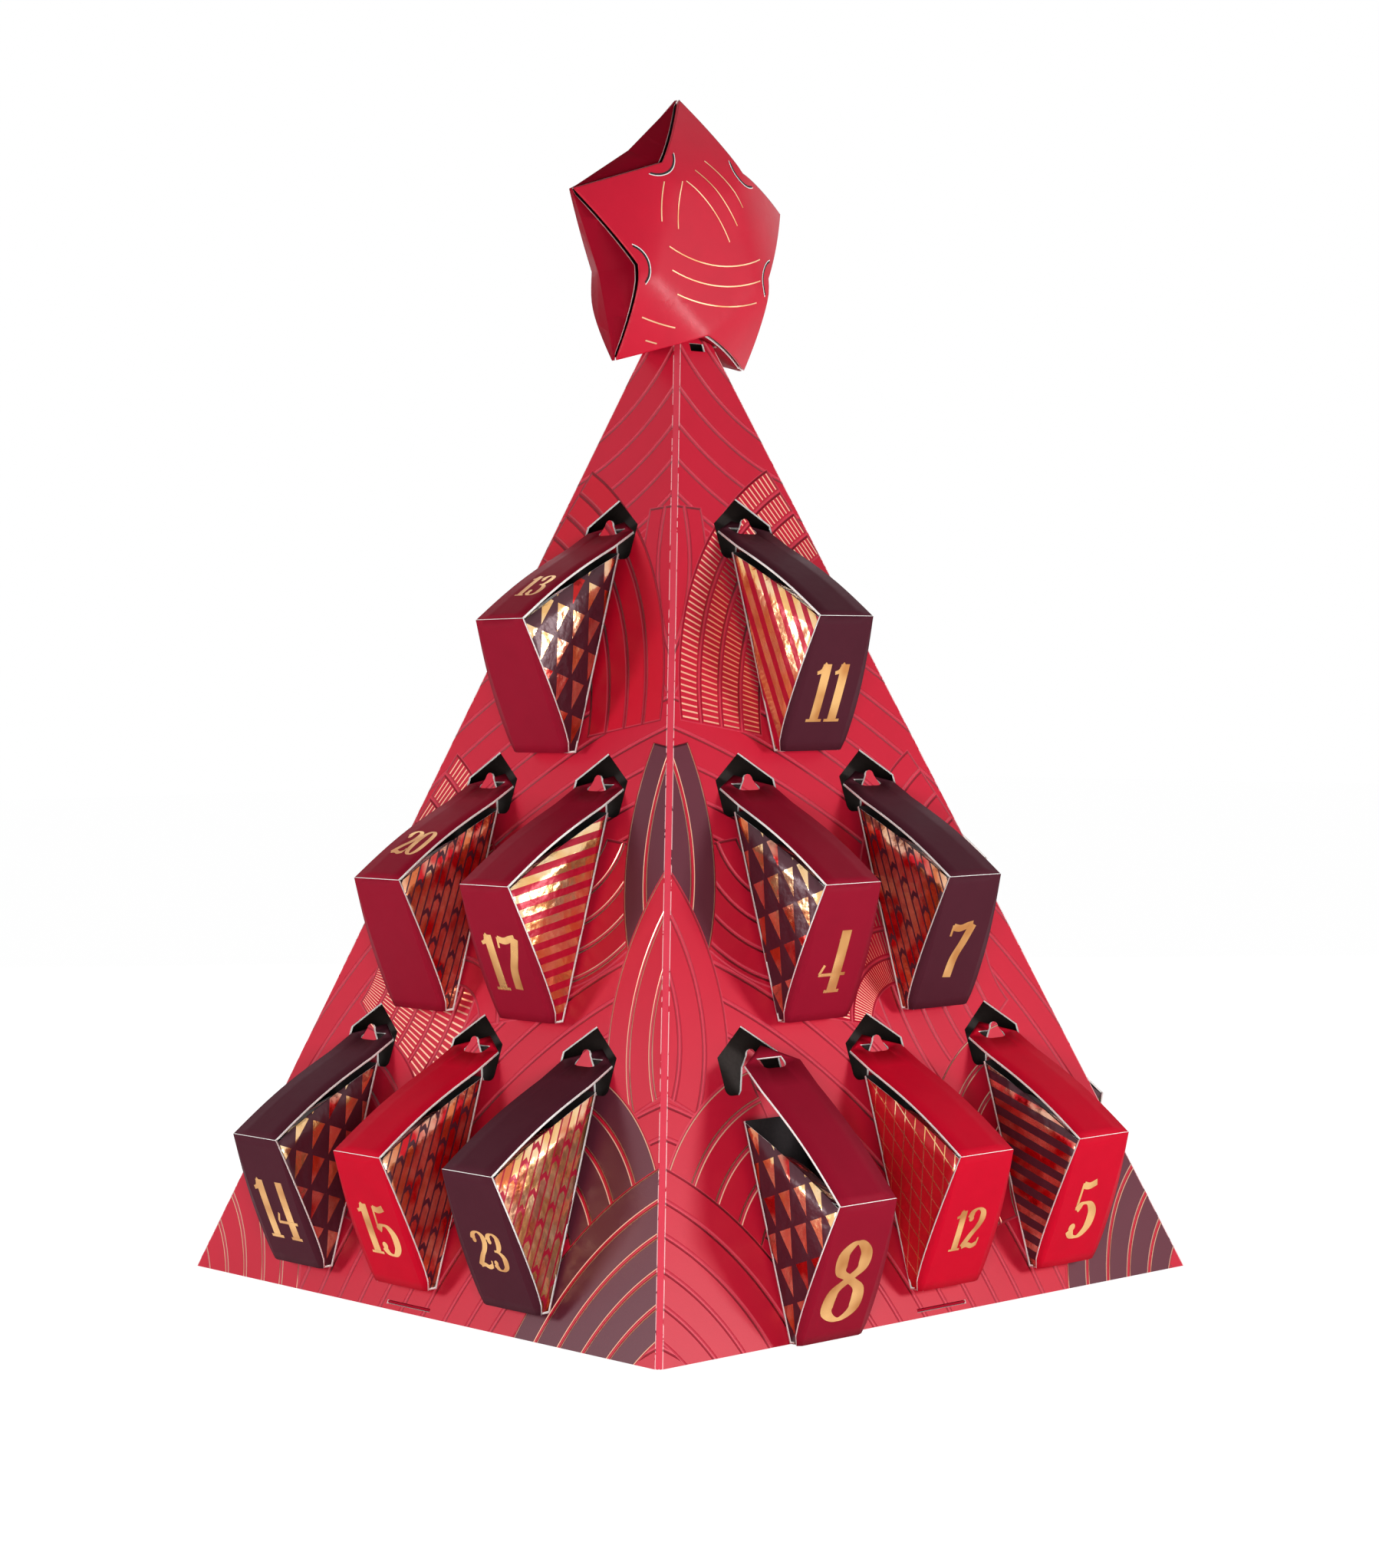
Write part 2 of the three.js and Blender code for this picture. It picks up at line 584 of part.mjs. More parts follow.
const wallRing = (loop, heightAt) => loop.map(({ outer, flat }) => axis(heightAt(outer), flat.x, flat.y));

// A closed skin over a run of rings, with a point at each end
function skin(firstPoint, rings, lastPoint) {
  const count = rings[0].length;
  const points = [firstPoint, ...rings.flat(), lastPoint];
  const last = points.length - 1;
  const triangles = [];
  for (let corner = 0; corner < count; corner += 1) {
    const next = (corner + 1) % count;
    triangles.push(0, 1 + corner, 1 + next);
    for (let ring = 0; ring < rings.length - 1; ring += 1) {
      const near = 1 + ring * count;
      const far = near + count;
      triangles.push(near + corner, far + corner, far + next, near + corner, far + next, near + next);
    }
    const end = last - count;
    triangles.push(end + corner, last, end + next);
  }
  const geometry = new THREE.BufferGeometry();
  geometry.setAttribute('position', new THREE.Float32BufferAttribute(points.flatMap((point) => point.toArray()), 3));
  geometry.setIndex(triangles);
  return toSolid(geometry);
}

// The largest body of a solid that a cut has left in several
function mainBody(solid) {
  return solid.decompose().reduce((best, body) => (body.volume() > best.volume() ? body : best));
}

// The tree's tip with the clearance that the star keeps from it
function tipClearance() {
  const reach = (height) => {
    const half = halfWidthAt(height) + SEAT_GAP / Math.cos(LEAN);
    return [[half, -half], [half, half], [-half, half], [-half, -half]].map(([x, y]) => new THREE.Vector2(x, y));
  };
  const low = STAR_CENTRE_HEIGHT - STAR_TIP_RADIUS;
  const solid = taper(reach(low), low, reach(TOP_CUT_HEIGHT + SEAT_GAP), TOP_CUT_HEIGHT + SEAT_GAP);
  return solid.translate([0, 0, -STAR_CENTRE_HEIGHT]);
}

function buildStarFront() {
  const loop = starOutline(0);
  const outer = puffedRings(loop, frontHeight, 0);
  const inner = puffedRings(loop, frontHeight, -STAR_CARD).reverse();
  const rings = [...outer, ...inner].map((ring) => [...ring].reverse());
  const solid = skin(axis(STAR_CENTRE_DEPTH, 0, 0), rings, axis(STAR_CENTRE_DEPTH - STAR_CARD, 0, 0));
  return toGeometry(solid.subtract(tipClearance()));
}

// The back sheet and the side walls, which stand out at the waist between the tips
function buildStarBack() {
  const outside = starOutline(0);
  const inside = starOutline(STAR_CARD);
  const rim = (place) => frontHeight(place) - STAR_CARD - SEAT_GAP;
  const waist = () => 0;
  const rings = [
    ...puffedRings(outside, backHeight, 0),
    wallRing(starOutline(0, STAR_WAIST_RADIUS), waist),
    wallRing(outside, rim),
    wallRing(inside, rim),
    wallRing(starOutline(STAR_CARD, STAR_WAIST_RADIUS), waist),
    ...puffedRings(inside, backHeight, STAR_CARD).reverse(),
  ];
  const solid = skin(axis(-STAR_CENTRE_DEPTH, 0, 0), rings, axis(STAR_CARD - STAR_CENTRE_DEPTH, 0, 0));
  return toGeometry(mainBody(solid.subtract(tipClearance())));
}

// Assembly

const calendar = new THREE.Group();

function addMesh(parent, name, geometry, material) {
  const mesh = new THREE.Mesh(geometry, material);
  mesh.name = name;
  parent.add(mesh);
  return mesh;
}

const twoDigits = (number) => String(number).padStart(2, '0');

function addFaces() {
  const plain = buildFace(false);
  const slotted = buildFace(true);
  for (const [name, turn] of Object.entries(FACE_TURN)) {
    const geometry = TIP_SLOT_FACES.includes(name) ? slotted : plain;
    addMesh(calendar, `face_${name}`, geometry, CRIMSON).rotation.z = Math.PI / 2 * turn;
  }
}

function addBoxes() {
  const cartonGeometry = buildCarton();
  const lidGeometry = buildLid();
  for (const [name, numbers] of Object.entries(FACE_NUMBERS)) {
    const frame = faceFrame(new THREE.Group(), FACE_TURN[name]);
    calendar.add(frame);
    windowSpots().forEach((spot, index) => {
      const number = numbers[index];
      const loose = number === LOOSE_BOX;
      const box = new THREE.Group();
      box.position.set(spot.x, spot.y - (loose ? LOOSE_DROP : 0), 0);
      frame.add(box);
      addMesh(box, `carton_${twoDigits(number)}`, cartonGeometry, sleeveOf(number));
      const lid = addMesh(box, `lid_${twoDigits(number)}`, lidGeometry, sleeveOf(number));
      placeLid(lid, loose ? LOOSE_LID_LIFT : 0);
    });
  }
}

function addStar() {
  const star = new THREE.Group();
  star.position.z = STAR_CENTRE_HEIGHT;
  calendar.add(star);
  addMesh(star, 'star_front', buildStarFront(), CRIMSON);
  addMesh(star, 'star_back', buildStarBack(), CRIMSON);
}

addFaces();
addMesh(calendar, 'base_panel', buildBase(), DARK_LINER);
addBoxes();
addStar();

export default calendar;
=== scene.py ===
"""Looks of the card tree advent calendar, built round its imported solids."""
from __future__ import annotations

import logging
import math
import random
from dataclasses import dataclass, field
from enum import Enum
from typing import Callable, Iterable, Sequence

import bmesh
import bpy
from mathutils import Matrix, Vector

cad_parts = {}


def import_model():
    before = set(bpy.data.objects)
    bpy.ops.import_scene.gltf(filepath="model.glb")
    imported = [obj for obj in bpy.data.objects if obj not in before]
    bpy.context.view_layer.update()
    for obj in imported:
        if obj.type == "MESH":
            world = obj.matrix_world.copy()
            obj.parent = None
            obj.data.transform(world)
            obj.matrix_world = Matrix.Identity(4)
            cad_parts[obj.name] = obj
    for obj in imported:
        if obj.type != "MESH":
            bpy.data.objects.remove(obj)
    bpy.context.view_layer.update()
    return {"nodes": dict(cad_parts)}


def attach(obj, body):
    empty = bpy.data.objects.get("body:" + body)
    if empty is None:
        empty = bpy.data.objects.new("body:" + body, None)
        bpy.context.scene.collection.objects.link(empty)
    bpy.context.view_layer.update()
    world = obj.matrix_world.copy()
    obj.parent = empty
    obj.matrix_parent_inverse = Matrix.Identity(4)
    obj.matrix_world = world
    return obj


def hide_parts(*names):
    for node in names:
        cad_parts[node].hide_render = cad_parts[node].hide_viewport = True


LOG = logging.getLogger("advent_calendar")
MM = 0.001
Colour = tuple[float, float, float, float]
MIX_NUMBERS = (2, 3)
MIX_COLOURS = (6, 7)
MIXED_COLOUR = 2
SCREEN_KNEE = 0.04045
SCREEN_SLOPE = 12.92
SCREEN_OFFSET = 0.055
SCREEN_POWER = 2.4
UV_UNIT = 100.0
SOFT = 1.5
PLAIN = 2.0
CREASED = 2.5
CRINKLED = 3.0
MOTTLED = 4.0
FIBROUS = 5.0
UP = Vector((0.0, 0.0, 1.0))


def srgb(red: int, green: int, blue: int) -> Colour:
    """Turns a screen colour into the linear colour that shaders take.

    Args:
        red: Red from 0 to 255.
        green: Green from 0 to 255.
        blue: Blue from 0 to 255.

    Returns:
        The linear colour with full alpha.
    """
    def linear(level: int) -> float:
        """One channel of the linear colour."""
        share = level / 255
        if share <= SCREEN_KNEE:
            return share / SCREEN_SLOPE
        return ((share + SCREEN_OFFSET) / (1 + SCREEN_OFFSET)) ** SCREEN_POWER
    return linear(red), linear(green), linear(blue), 1.0


def darkened(colour: Colour, *shares: float) -> Colour:
    """Darkens a colour.

    Args:
        colour: The linear colour.
        shares: What is left of red, green and blue, or one share for all three.

    Returns:
        The darker colour with full alpha.
    """
    each = shares if len(shares) > 1 else shares * 3
    return tuple(level * share for level, share in zip(colour, each)) + (1.0,)


CRIMSON = srgb(200, 24, 52)
DEEP_CRIMSON = srgb(160, 10, 38)
BRIGHT_RED = srgb(204, 12, 42)
PRINTED_PLUM = srgb(96, 38, 52)
PLUM = srgb(76, 30, 42)
BURGUNDY = srgb(144, 18, 42)
GOLD = srgb(242, 188, 122)
COPPER = srgb(216, 116, 72)
LIGHT_HAIRLINE = srgb(246, 186, 158)
# Painted highlight along the emboss ridges of the tree's print.
RIDGE_HIGHLIGHT = srgb(240, 104, 120)
CUT_BOARD = srgb(255, 252, 248)
INSIDE = srgb(40, 24, 16)
NEAR_BLACK = srgb(22, 9, 13)
# Painted shade for the tree's hollow, seen through its windows.
HOLLOW_SHADE_BROWN = srgb(34, 20, 15)
CHANNEL_RED = srgb(212, 52, 74)
PRINT_MOTTLE = srgb(222, 206, 210)
WORN_HIP = srgb(246, 196, 196)
HIP_RED = srgb(222, 52, 76)
STAR_RED = srgb(204, 20, 50)
# Painted shade: a darker copy of the star's red for its side walls.
SHADED_STAR_SIDE_RED = srgb(150, 8, 34)
FINE_GOLD = srgb(246, 200, 160)
# Painted highlight on the folds of the box foil.
FOLD_HIGHLIGHT = srgb(255, 232, 196)
FOIL_RED = srgb(190, 40, 40)
STRIPE_CRIMSON = srgb(190, 14, 50)
LATTICE_RED = srgb(196, 20, 34)
SLANT_RED = srgb(200, 26, 38)
BAR_RED = srgb(206, 34, 44)
BAR_PLUM = srgb(74, 26, 40)
BAR_CRIMSON = srgb(176, 24, 52)
FLOOR_WHITE = srgb(250, 250, 250)


class Sleeve(Enum):
    """The colour of a gift box's outer card."""
    PLUM = "plum_card"
    BURGUNDY = "burgundy_card"
    BRIGHT = "bright_red_card"

    @property
    def colour(self) -> Colour:
        """The card's own colour."""
        return {"PLUM": PLUM, "BURGUNDY": BURGUNDY, "BRIGHT": BRIGHT_RED}[self.name]


class Wrap(Enum):
    """The foil pattern on a gift box's side walls."""
    TRIANGLES = 1
    STRIPES = 2
    CHEVRON_BARS = 3
    GOLD_CHEVRONS = 4
    LATTICE = 5
    DIAGONALS = 6
    UPRIGHT_STRIPES = 7


class Graph:
    """Adds nodes to one material and links them."""

    def __init__(self, name: str) -> None:
        """Starts a material with one Principled shader.

        Args:
            name: The material's name.
        """
        self.material = bpy.data.materials.new(name)
        self.material.use_nodes = True
        self.tree = self.material.node_tree
        self.shader = next(n for n in self.tree.nodes if n.type == "BSDF_PRINCIPLED")
        self.coords = self.tree.nodes.new("ShaderNodeTexCoord")

    def node(self, kind: str, **settings: object) -> bpy.types.Node:
        """Adds a node and sets its properties.

        Args:
            kind: The node's type name.
            settings: Property values by name.

        Returns:
            The new node.
        """
        made = self.tree.nodes.new(kind)
        for key, value in settings.items():
            setattr(made, key, value)
        return made

    def plug(self, socket: bpy.types.NodeSocket, value: object) -> None:
        """Links a socket to another, or sets its value."""
        if isinstance(value, bpy.types.NodeSocket):
            self.tree.links.new(value, socket)
        else:
            socket.default_value = value

    def math(self, operation: str, *values: object) -> bpy.types.NodeSocket:
        """Adds a Math node and returns its output."""
        made = self.node("ShaderNodeMath", operation=operation)
        for socket, value in zip(made.inputs, values):
            self.plug(socket, value)
        return made.outputs[0]

    def product(self, *values: object) -> bpy.types.NodeSocket:
        """Multiplies two or more values."""
        result = self.math("MULTIPLY", values[0], values[1])
        for value in values[2:]:
            result = self.math("MULTIPLY", result, value)
        return result

    def largest(self, *values: object) -> bpy.types.NodeSocket:
        """Returns the largest of two or more values."""
        result = self.math("MAXIMUM", values[0], values[1])
        for value in values[2:]:
            result = self.math("MAXIMUM", result, value)
        return result

    def between(self, value: object, low: float, high: float) -> bpy.types.NodeSocket:
        """Returns 1 where a value lies between two limits, and 0 elsewhere."""
        return self.math("COMPARE", value, (low + high) / 2, (high - low) / 2)

    def smallest(self, *values: object) -> bpy.types.NodeSocket:
        """Returns the smallest of two or more values."""
        result = self.math("MINIMUM", values[0], values[1])
        for value in values[2:]:
            result = self.math("MINIMUM", result, value)
        return result

    def ramp(self, value: object, low: float, high: float) -> bpy.types.NodeSocket:
        """Rises from 0 to 1 as a value goes from one limit to the other."""
        made = self.node("ShaderNodeMapRange")
        self.plug(made.inputs["Value"], value)
        made.inputs["From Min"].default_value = low
        made.inputs["From Max"].default_value = high
        return made.outputs[0]

    def over(self, mask: object, under: object, top: object) -> bpy.types.NodeSocket:
        """Lays one number over another where a mask is 1."""
        made = self.node("ShaderNodeMix")
        self.plug(made.inputs["Factor"], mask)
        for socket, value in zip(MIX_NUMBERS, (under, top)):
            self.plug(made.inputs[socket], value)
        return made.outputs[0]

    def lines(self, value: object, pitch: float, width: float) -> bpy.types.NodeSocket:
        """Returns 1 on lines of a width that repeat at a pitch, and 0 elsewhere."""
        return self.math("LESS_THAN", self.math("PINGPONG", value, pitch / 2), width / 2)

    def vector(self, operation: str, *values: object) -> bpy.types.Node:
        """Adds a Vector Math node and returns it."""
        made = self.node("ShaderNodeVectorMath", operation=operation)
        for socket, value in zip(made.inputs, values):
            self.plug(socket, value)
        return made

    def mix(self, share: object, first: object, second: object) -> bpy.types.NodeSocket:
        """Mixes two colours by a share from 0 to 1."""
        made = self.node("ShaderNodeMix", data_type="RGBA")
        self.plug(made.inputs["Factor"], share)
        for socket, value in zip(MIX_COLOURS, (first, second)):
            self.plug(made.inputs[socket], value)
        return made.outputs[MIXED_COLOUR]

    def blend(self, share: object, low: float, high: float) -> bpy.types.NodeSocket:
        """Runs from one number to another as a share goes from 0 to 1."""
        made = self.node("ShaderNodeMapRange")
        self.plug(made.inputs["Value"], share)
        made.inputs["To Min"].default_value = low
        made.inputs["To Max"].default_value = high
        return made.outputs[0]

    def mapping(self, source: object, scale: Sequence[float],
                turn: float = 0.0) -> bpy.types.NodeSocket:
        """Scales coordinates, then turns them about Z."""
        made = self.node("ShaderNodeMapping")
        self.plug(made.inputs["Vector"], source)
        made.inputs["Scale"].default_value = scale
        made.inputs["Rotation"].default_value = (0.0, 0.0, turn)
        return made.outputs[0]

    def axes(self, vector: object) -> tuple[bpy.types.NodeSocket, ...]:
        """Splits a vector into its three numbers."""
        made = self.node("ShaderNodeSeparateXYZ")
        self.plug(made.inputs[0], vector)
        return tuple(made.outputs)

    def joined(self, x: object, y: object, z: object = 0.0) -> bpy.types.NodeSocket:
        """Joins three numbers into a vector."""
        made = self.node("ShaderNodeCombineXYZ")
        for socket, value in zip(made.inputs, (x, y, z)):
            self.plug(socket, value)
        return made.outputs[0]

    def noise(self, size: float, detail: float) -> bpy.types.NodeSocket:
        """Adds a noise whose features are about a size, in metres on Object coordinates."""
        made = self.node("ShaderNodeTexNoise")
        self.plug(made.inputs["Vector"], self.coords.outputs["Object"])
        made.inputs["Scale"].default_value = 1 / size
        made.inputs["Detail"].default_value = detail
        return made.outputs[0]

    def bump(self, height: object, depth: float, under: object = None) -> bpy.types.NodeSocket:
        """Turns a height from 0 to 1 into a relief of a depth in metres."""
        made = self.node("ShaderNodeBump")
        self.plug(made.inputs["Height"], height)
        made.inputs["Distance"].default_value = depth
        if under is not None:
            self.plug(made.inputs["Normal"], under)
        return made.outputs[0]

    def finish(self, **values: object) -> bpy.types.Material:
        """Sets or links the shader's sockets by name, and returns the material."""
        for name, value in values.items():
            title = name.replace("_", " ").title().replace("Ior", "IOR")
            self.plug(self.shader.inputs[title], value)
        return self.material


@dataclass(frozen=True)
class CardFinish:
    """Satin laminated card: faint mottling, a paper grain and soft gloss."""
    name: str
    colour: Colour
    roughness: float = 0.55
    specular: float = 0.04
    mottle_size: float = 0.012
    mottle_share: float = 0.86
    fibre_size: float = 0.004
    fibre_gloss: tuple[float, float] = (-0.05, 0.07)
    grain_size: float = 0.0006
    grain_depth: float = 0.00003

    def material(self) -> bpy.types.Material:
        """Builds the card's material."""
        graph = Graph(self.name)
        mottle = graph.noise(self.mottle_size, MOTTLED)
        grain = graph.noise(self.grain_size, PLAIN)
        fibres = graph.noise(self.fibre_size, MOTTLED)
        low, high = (self.roughness + change for change in self.fibre_gloss)
        return graph.finish(
            base_color=graph.mix(mottle, self.colour, darkened(self.colour, self.mottle_share)),
            roughness=graph.blend(fibres, low, high),
            specular_ior_level=self.specular,
            normal=graph.bump(grain, self.grain_depth),
        )


@dataclass(frozen=True)
class BoardFinish:
    """Uncoated board, as on a cut edge or an unprinted inside."""
    name: str
    colour: Colour
    fibre_size: float = 0.0015
    fibre_share: float = 0.72
    fibre_depth: float = 0.00006
    roughness: tuple[float, float] = (0.72, 0.9)

    def material(self) -> bpy.types.Material:
        """Builds the board's material."""
        graph = Graph(self.name)
        fibres = graph.noise(self.fibre_size, FIBROUS)
        return graph.finish(
            base_color=graph.mix(fibres, self.colour, darkened(self.colour, self.fibre_share)),
            roughness=graph.blend(fibres, *self.roughness),
            normal=graph.bump(fibres, self.fibre_depth),
        )


@dataclass(frozen=True)
class FoilStampFinish:
    """Hot-stamped metal foil, as on numerals."""
    name: str
    colour: Colour = GOLD
    roughness: float = 0.24
    dulled: float = 0.12
    sheen_size: float = 0.016
    sheen_limits: tuple[float, float] = (0.36, 0.62)
    deeper: tuple[float, float, float] = (0.62, 0.46, 0.36)
    dent_size: float = 0.003
    dent_depth: float = 0.00003

    def material(self) -> bpy.types.Material:
        """Builds the foil's material."""
        graph = Graph(self.name)
        brushed = graph.ramp(graph.noise(self.sheen_size, SOFT), *self.sheen_limits)
        return graph.finish(
            base_color=graph.mix(brushed, self.colour, darkened(self.colour, *self.deeper)),
            metallic=1.0,
            roughness=graph.blend(brushed, self.roughness, self.roughness + self.dulled),
            normal=graph.bump(graph.noise(self.dent_size, PLAIN), self.dent_depth),
        )


@dataclass(frozen=True)
class Stripes:
    """Stripes of a foil pattern: a pitch and a width in millimetres, and how much they slant."""
    pitch: float
    width: float
    slant: float


@dataclass(frozen=True)
class WrapFinish:
    """Printed metal foil of a box's side walls, with its pattern on the walls' own UV map and a painted
    highlight where it folds.

    Sizes are in millimetres, and the shares are of a cell of the pattern.
    """
    name: str
    wrap: Wrap
    even: Stripes = Stripes(7.4, 3.9, 0.62)
    upright: Stripes = Stripes(6.4, 3.5, 0.06)
    lattice: Stripes = Stripes(6.4, 0.55, 0.45)
    slanting: Stripes = Stripes(8.2, 3.6, 0.8)
    triangle: tuple[float, float] = (9.2, 14.5)
    triangle_taper: float = 0.86
    triangle_height: float = 0.84
    gold_share: float = 0.45
    red_share: float = 0.74
    bar: tuple[float, float] = (3.8, 26.0)
    bar_step: float = 7.7
    bar_point: float = 1.3
    bar_length: float = 0.9
    bar_gap: float = 0.4
    copper_share: float = 0.6
    crease_size: float = 0.010
    crease_depth: float = 0.0012
    crinkle_size: float = 0.0032
    crinkle_depth: float = 0.00022
    fold_size: float = 0.014
    fold_limits: tuple[float, float] = (0.40, 0.60)
    fold_light: float = 0.55
    metallic: tuple[float, float] = (0.15, 0.92)
    roughness: tuple[float, float] = (0.36, 0.24)

    def _cells(self, graph: Graph, across: object, down: object, cell: tuple[float, float]) -> object:
        """A number from 0 to 1 that differs from one cell of the pattern to the next."""
        noise = graph.node("ShaderNodeTexWhiteNoise", noise_dimensions="2D")
        column = graph.math("FLOOR", graph.math("DIVIDE", across, cell[0]))
        row = graph.math("FLOOR", graph.math("DIVIDE", down, cell[1]))
        graph.plug(noise.inputs["Vector"], graph.joined(column, row))
        return noise.outputs["Value"]

    def _triangles(self, graph: Graph, across: object, down: object) -> tuple[object, ...]:
        """Rows of rounded triangles of gold and copper on plum."""
        half = self.triangle[0] / 2
        row = graph.math("DIVIDE", down, self.triangle[1])
        odd = graph.math("PINGPONG", graph.math("FLOOR", row), 1.0)
        shifted = graph.math("ADD", across, graph.math("MULTIPLY", odd, half))
        side = graph.math("PINGPONG", graph.math("ADD", shifted, half), half)
        height = graph.math("FRACT", row)
        reach = graph.math("MULTIPLY", height, self.triangle_taper)
        inside = graph.math("LESS_THAN", graph.math("DIVIDE", side, half), reach)
        mask = graph.product(inside, graph.math("LESS_THAN", height, self.triangle_height))
        pick = self._cells(graph, shifted, down, self.triangle)
        metal = graph.mix(graph.math("GREATER_THAN", pick, self.gold_share), GOLD, COPPER)
        metal = graph.mix(graph.math("GREATER_THAN", pick, self.red_share), metal, FOIL_RED)
        return mask, metal, PLUM

    def _stripes(self, graph: Graph, across: object, down: object) -> tuple[object, ...]:
        """Even stripes of gold on crimson."""
        slant = graph.math("ADD", down, graph.math("MULTIPLY", across, self.even.slant))
        return graph.lines(slant, self.even.pitch, self.even.width), GOLD, STRIPE_CRIMSON

    def _upright_stripes(self, graph: Graph, across: object, down: object) -> tuple[object, ...]:
        """Stripes of gold on crimson that run down the wall, along its back edge."""
        slant = graph.math("ADD", across, graph.math("MULTIPLY", down, self.upright.slant))
        return graph.lines(slant, self.upright.pitch, self.upright.width), GOLD, STRIPE_CRIMSON

    def _bars(self, graph: Graph, across: object, down: object, metal: Colour,
              ink: Colour) -> tuple[object, ...]:
        """Upright bars with pointed ends, each column set off from the next."""
        wide, tall = self.bar
        column = graph.math("FLOOR", graph.math("DIVIDE", across, wide))
        point = graph.math("PINGPONG", graph.math("ADD", across, wide / 2), wide / 2)
        along = graph.math("ADD", down, graph.math("MULTIPLY", column, self.bar_step))
        along = graph.math("ADD", along, graph.math("MULTIPLY", point, self.bar_point))
        share = graph.math("FRACT", graph.math("DIVIDE", along, tall))
        ends = graph.math("LESS_THAN", share, self.bar_length)
        body = graph.math("GREATER_THAN", graph.math("PINGPONG", across, wide / 2), self.bar_gap)
        pick = self._cells(graph, across, along, self.bar)
        tone = graph.mix(graph.math("GREATER_THAN", pick, self.copper_share), metal, COPPER)
        return graph.product(ends, body), tone, ink

    def _lattice(self, graph: Graph, across: object, down: object) -> tuple[object, ...]:
        """Thin copper lines that cross into long diamonds on red foil."""
        size = self.lattice
        rising = graph.math("ADD", across, graph.math("MULTIPLY", down, size.slant))
        falling = graph.math("SUBTRACT", across, graph.math("MULTIPLY", down, size.slant))
        crossing = graph.largest(*(graph.lines(way, size.pitch, size.width) for way in (rising, falling)))
        return crossing, GOLD, LATTICE_RED

    def _diagonals(self, graph: Graph, across: object, down: object) -> tuple[object, ...]:
        """Slanting stripes of red foil on plum."""
        slant = graph.math("ADD", down, graph.math("MULTIPLY", across, self.slanting.slant))
        return graph.lines(slant, self.slanting.pitch, self.slanting.width), SLANT_RED, PLUM

    def material(self) -> bpy.types.Material:
        """Builds the foil's material."""
        graph = Graph(self.name)
        flat = graph.mapping(graph.coords.outputs["UV"], (UV_UNIT, UV_UNIT, 1.0))
        across, down, _ = graph.axes(flat)
        makers: dict[Wrap, Callable[[], tuple[object, ...]]] = {
            Wrap.TRIANGLES: lambda: self._triangles(graph, across, down),
            Wrap.STRIPES: lambda: self._stripes(graph, across, down),
            Wrap.CHEVRON_BARS: lambda: self._bars(graph, across, down, BAR_RED, BAR_PLUM),
            Wrap.GOLD_CHEVRONS: lambda: self._bars(graph, across, down, GOLD, BAR_CRIMSON),
            Wrap.LATTICE: lambda: self._lattice(graph, across, down),
            Wrap.DIAGONALS: lambda: self._diagonals(graph, across, down),
            Wrap.UPRIGHT_STRIPES: lambda: self._upright_stripes(graph, across, down),
        }
        mask, metal, ink = makers[self.wrap]()
        creases = graph.noise(self.crease_size, CREASED)
        crinkle = graph.noise(self.crinkle_size, CRINKLED)
        relief = graph.bump(crinkle, self.crinkle_depth, graph.bump(creases, self.crease_depth))
        # Painted highlight: where the noise marks a fold, the foil's colour turns near white, standing for
        # light caught on the crinkled foil.
        folds = graph.ramp(graph.noise(self.fold_size, PLAIN), *self.fold_limits)
        metal = graph.mix(graph.product(folds, self.fold_light), metal, FOLD_HIGHLIGHT)
        return graph.finish(
            base_color=graph.mix(mask, ink, metal),
            metallic=graph.blend(mask, *self.metallic),
            roughness=graph.blend(mask, *self.roughness),
            normal=relief,
        )


@dataclass(frozen=True)
class TreeShape:
    """Sizes of the card tree in millimetres, as in its solids."""
    foot: float = 320.0
    peak: float = 450.0
    top_cut: float = 434.0
    hip_strip: float = 2.8
    top_row: float = 367.998
    row_pitch: float = 118.499
    column_pitch: float = 37.0
    rows: int = 3

    @property
    def lean(self) -> float:
        """How far each face leans in from upright, in radians."""
        return math.atan(self.foot / 2 / self.peak)

    def spots(self) -> list[tuple[float, float]]:
        """Where the windows' tips are on a face: right of its middle, and up its slope."""
        return [
            ((2 * column - row) * self.column_pitch, self.top_row - row * self.row_pitch)
            for row in range(self.rows) for column in range(row + 1)
        ]


TREE = TreeShape()


class Face(Enum):
    """The tree's four faces, with their quarter turns from +X."""
    RIGHT = 0
    BACK_RIGHT = 1
    BACK_LEFT = 2
    LEFT = 3

    @property
    def node(self) -> str:
        """The face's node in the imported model."""
        return f"face_{self.name.lower()}"

    def outward(self) -> Vector:
        """The level direction that the face looks in."""
        turn = self.value * math.pi / 2
        return Vector((round(math.cos(turn)), round(math.sin(turn)), 0.0))

    def normal(self) -> Vector:
        """The direction that stands square on the face."""
        return self.outward() * math.cos(TREE.lean) + UP * math.sin(TREE.lean)

    def frame(self) -> Matrix:
        """The face's own frame: x to the right, y up the slope and z outwards, in metres."""
        out = self.outward()
        slope = UP * math.cos(TREE.lean) - out * math.sin(TREE.lean)
        matrix = Matrix((UP.cross(out), slope, self.normal())).transposed().to_4x4()
        matrix.translation = out * TREE.foot / 2 * MM
        return matrix


class Print(Enum):
    """How the bands of a fan are finished."""
    EMBOSSED = 1
    PLUM = 2
    RED = 3
    TICKS = 4
    HAIRLINES = 5


@dataclass(frozen=True)
class Fan:
    """A fan of arched bands in a face's print: millimetres, with angles in degrees.

    Its place is measured from the middle of the face's foot, towards the front hip being
    negative, and it is finished in one way on the even faces and in another on the odd ones.
    """
    centre: tuple[float, float]
    inner: float
    outer: float
    start: float
    end: float
    pitch: float = 12.0
    even: Print = Print.EMBOSSED
    odd: Print = Print.EMBOSSED


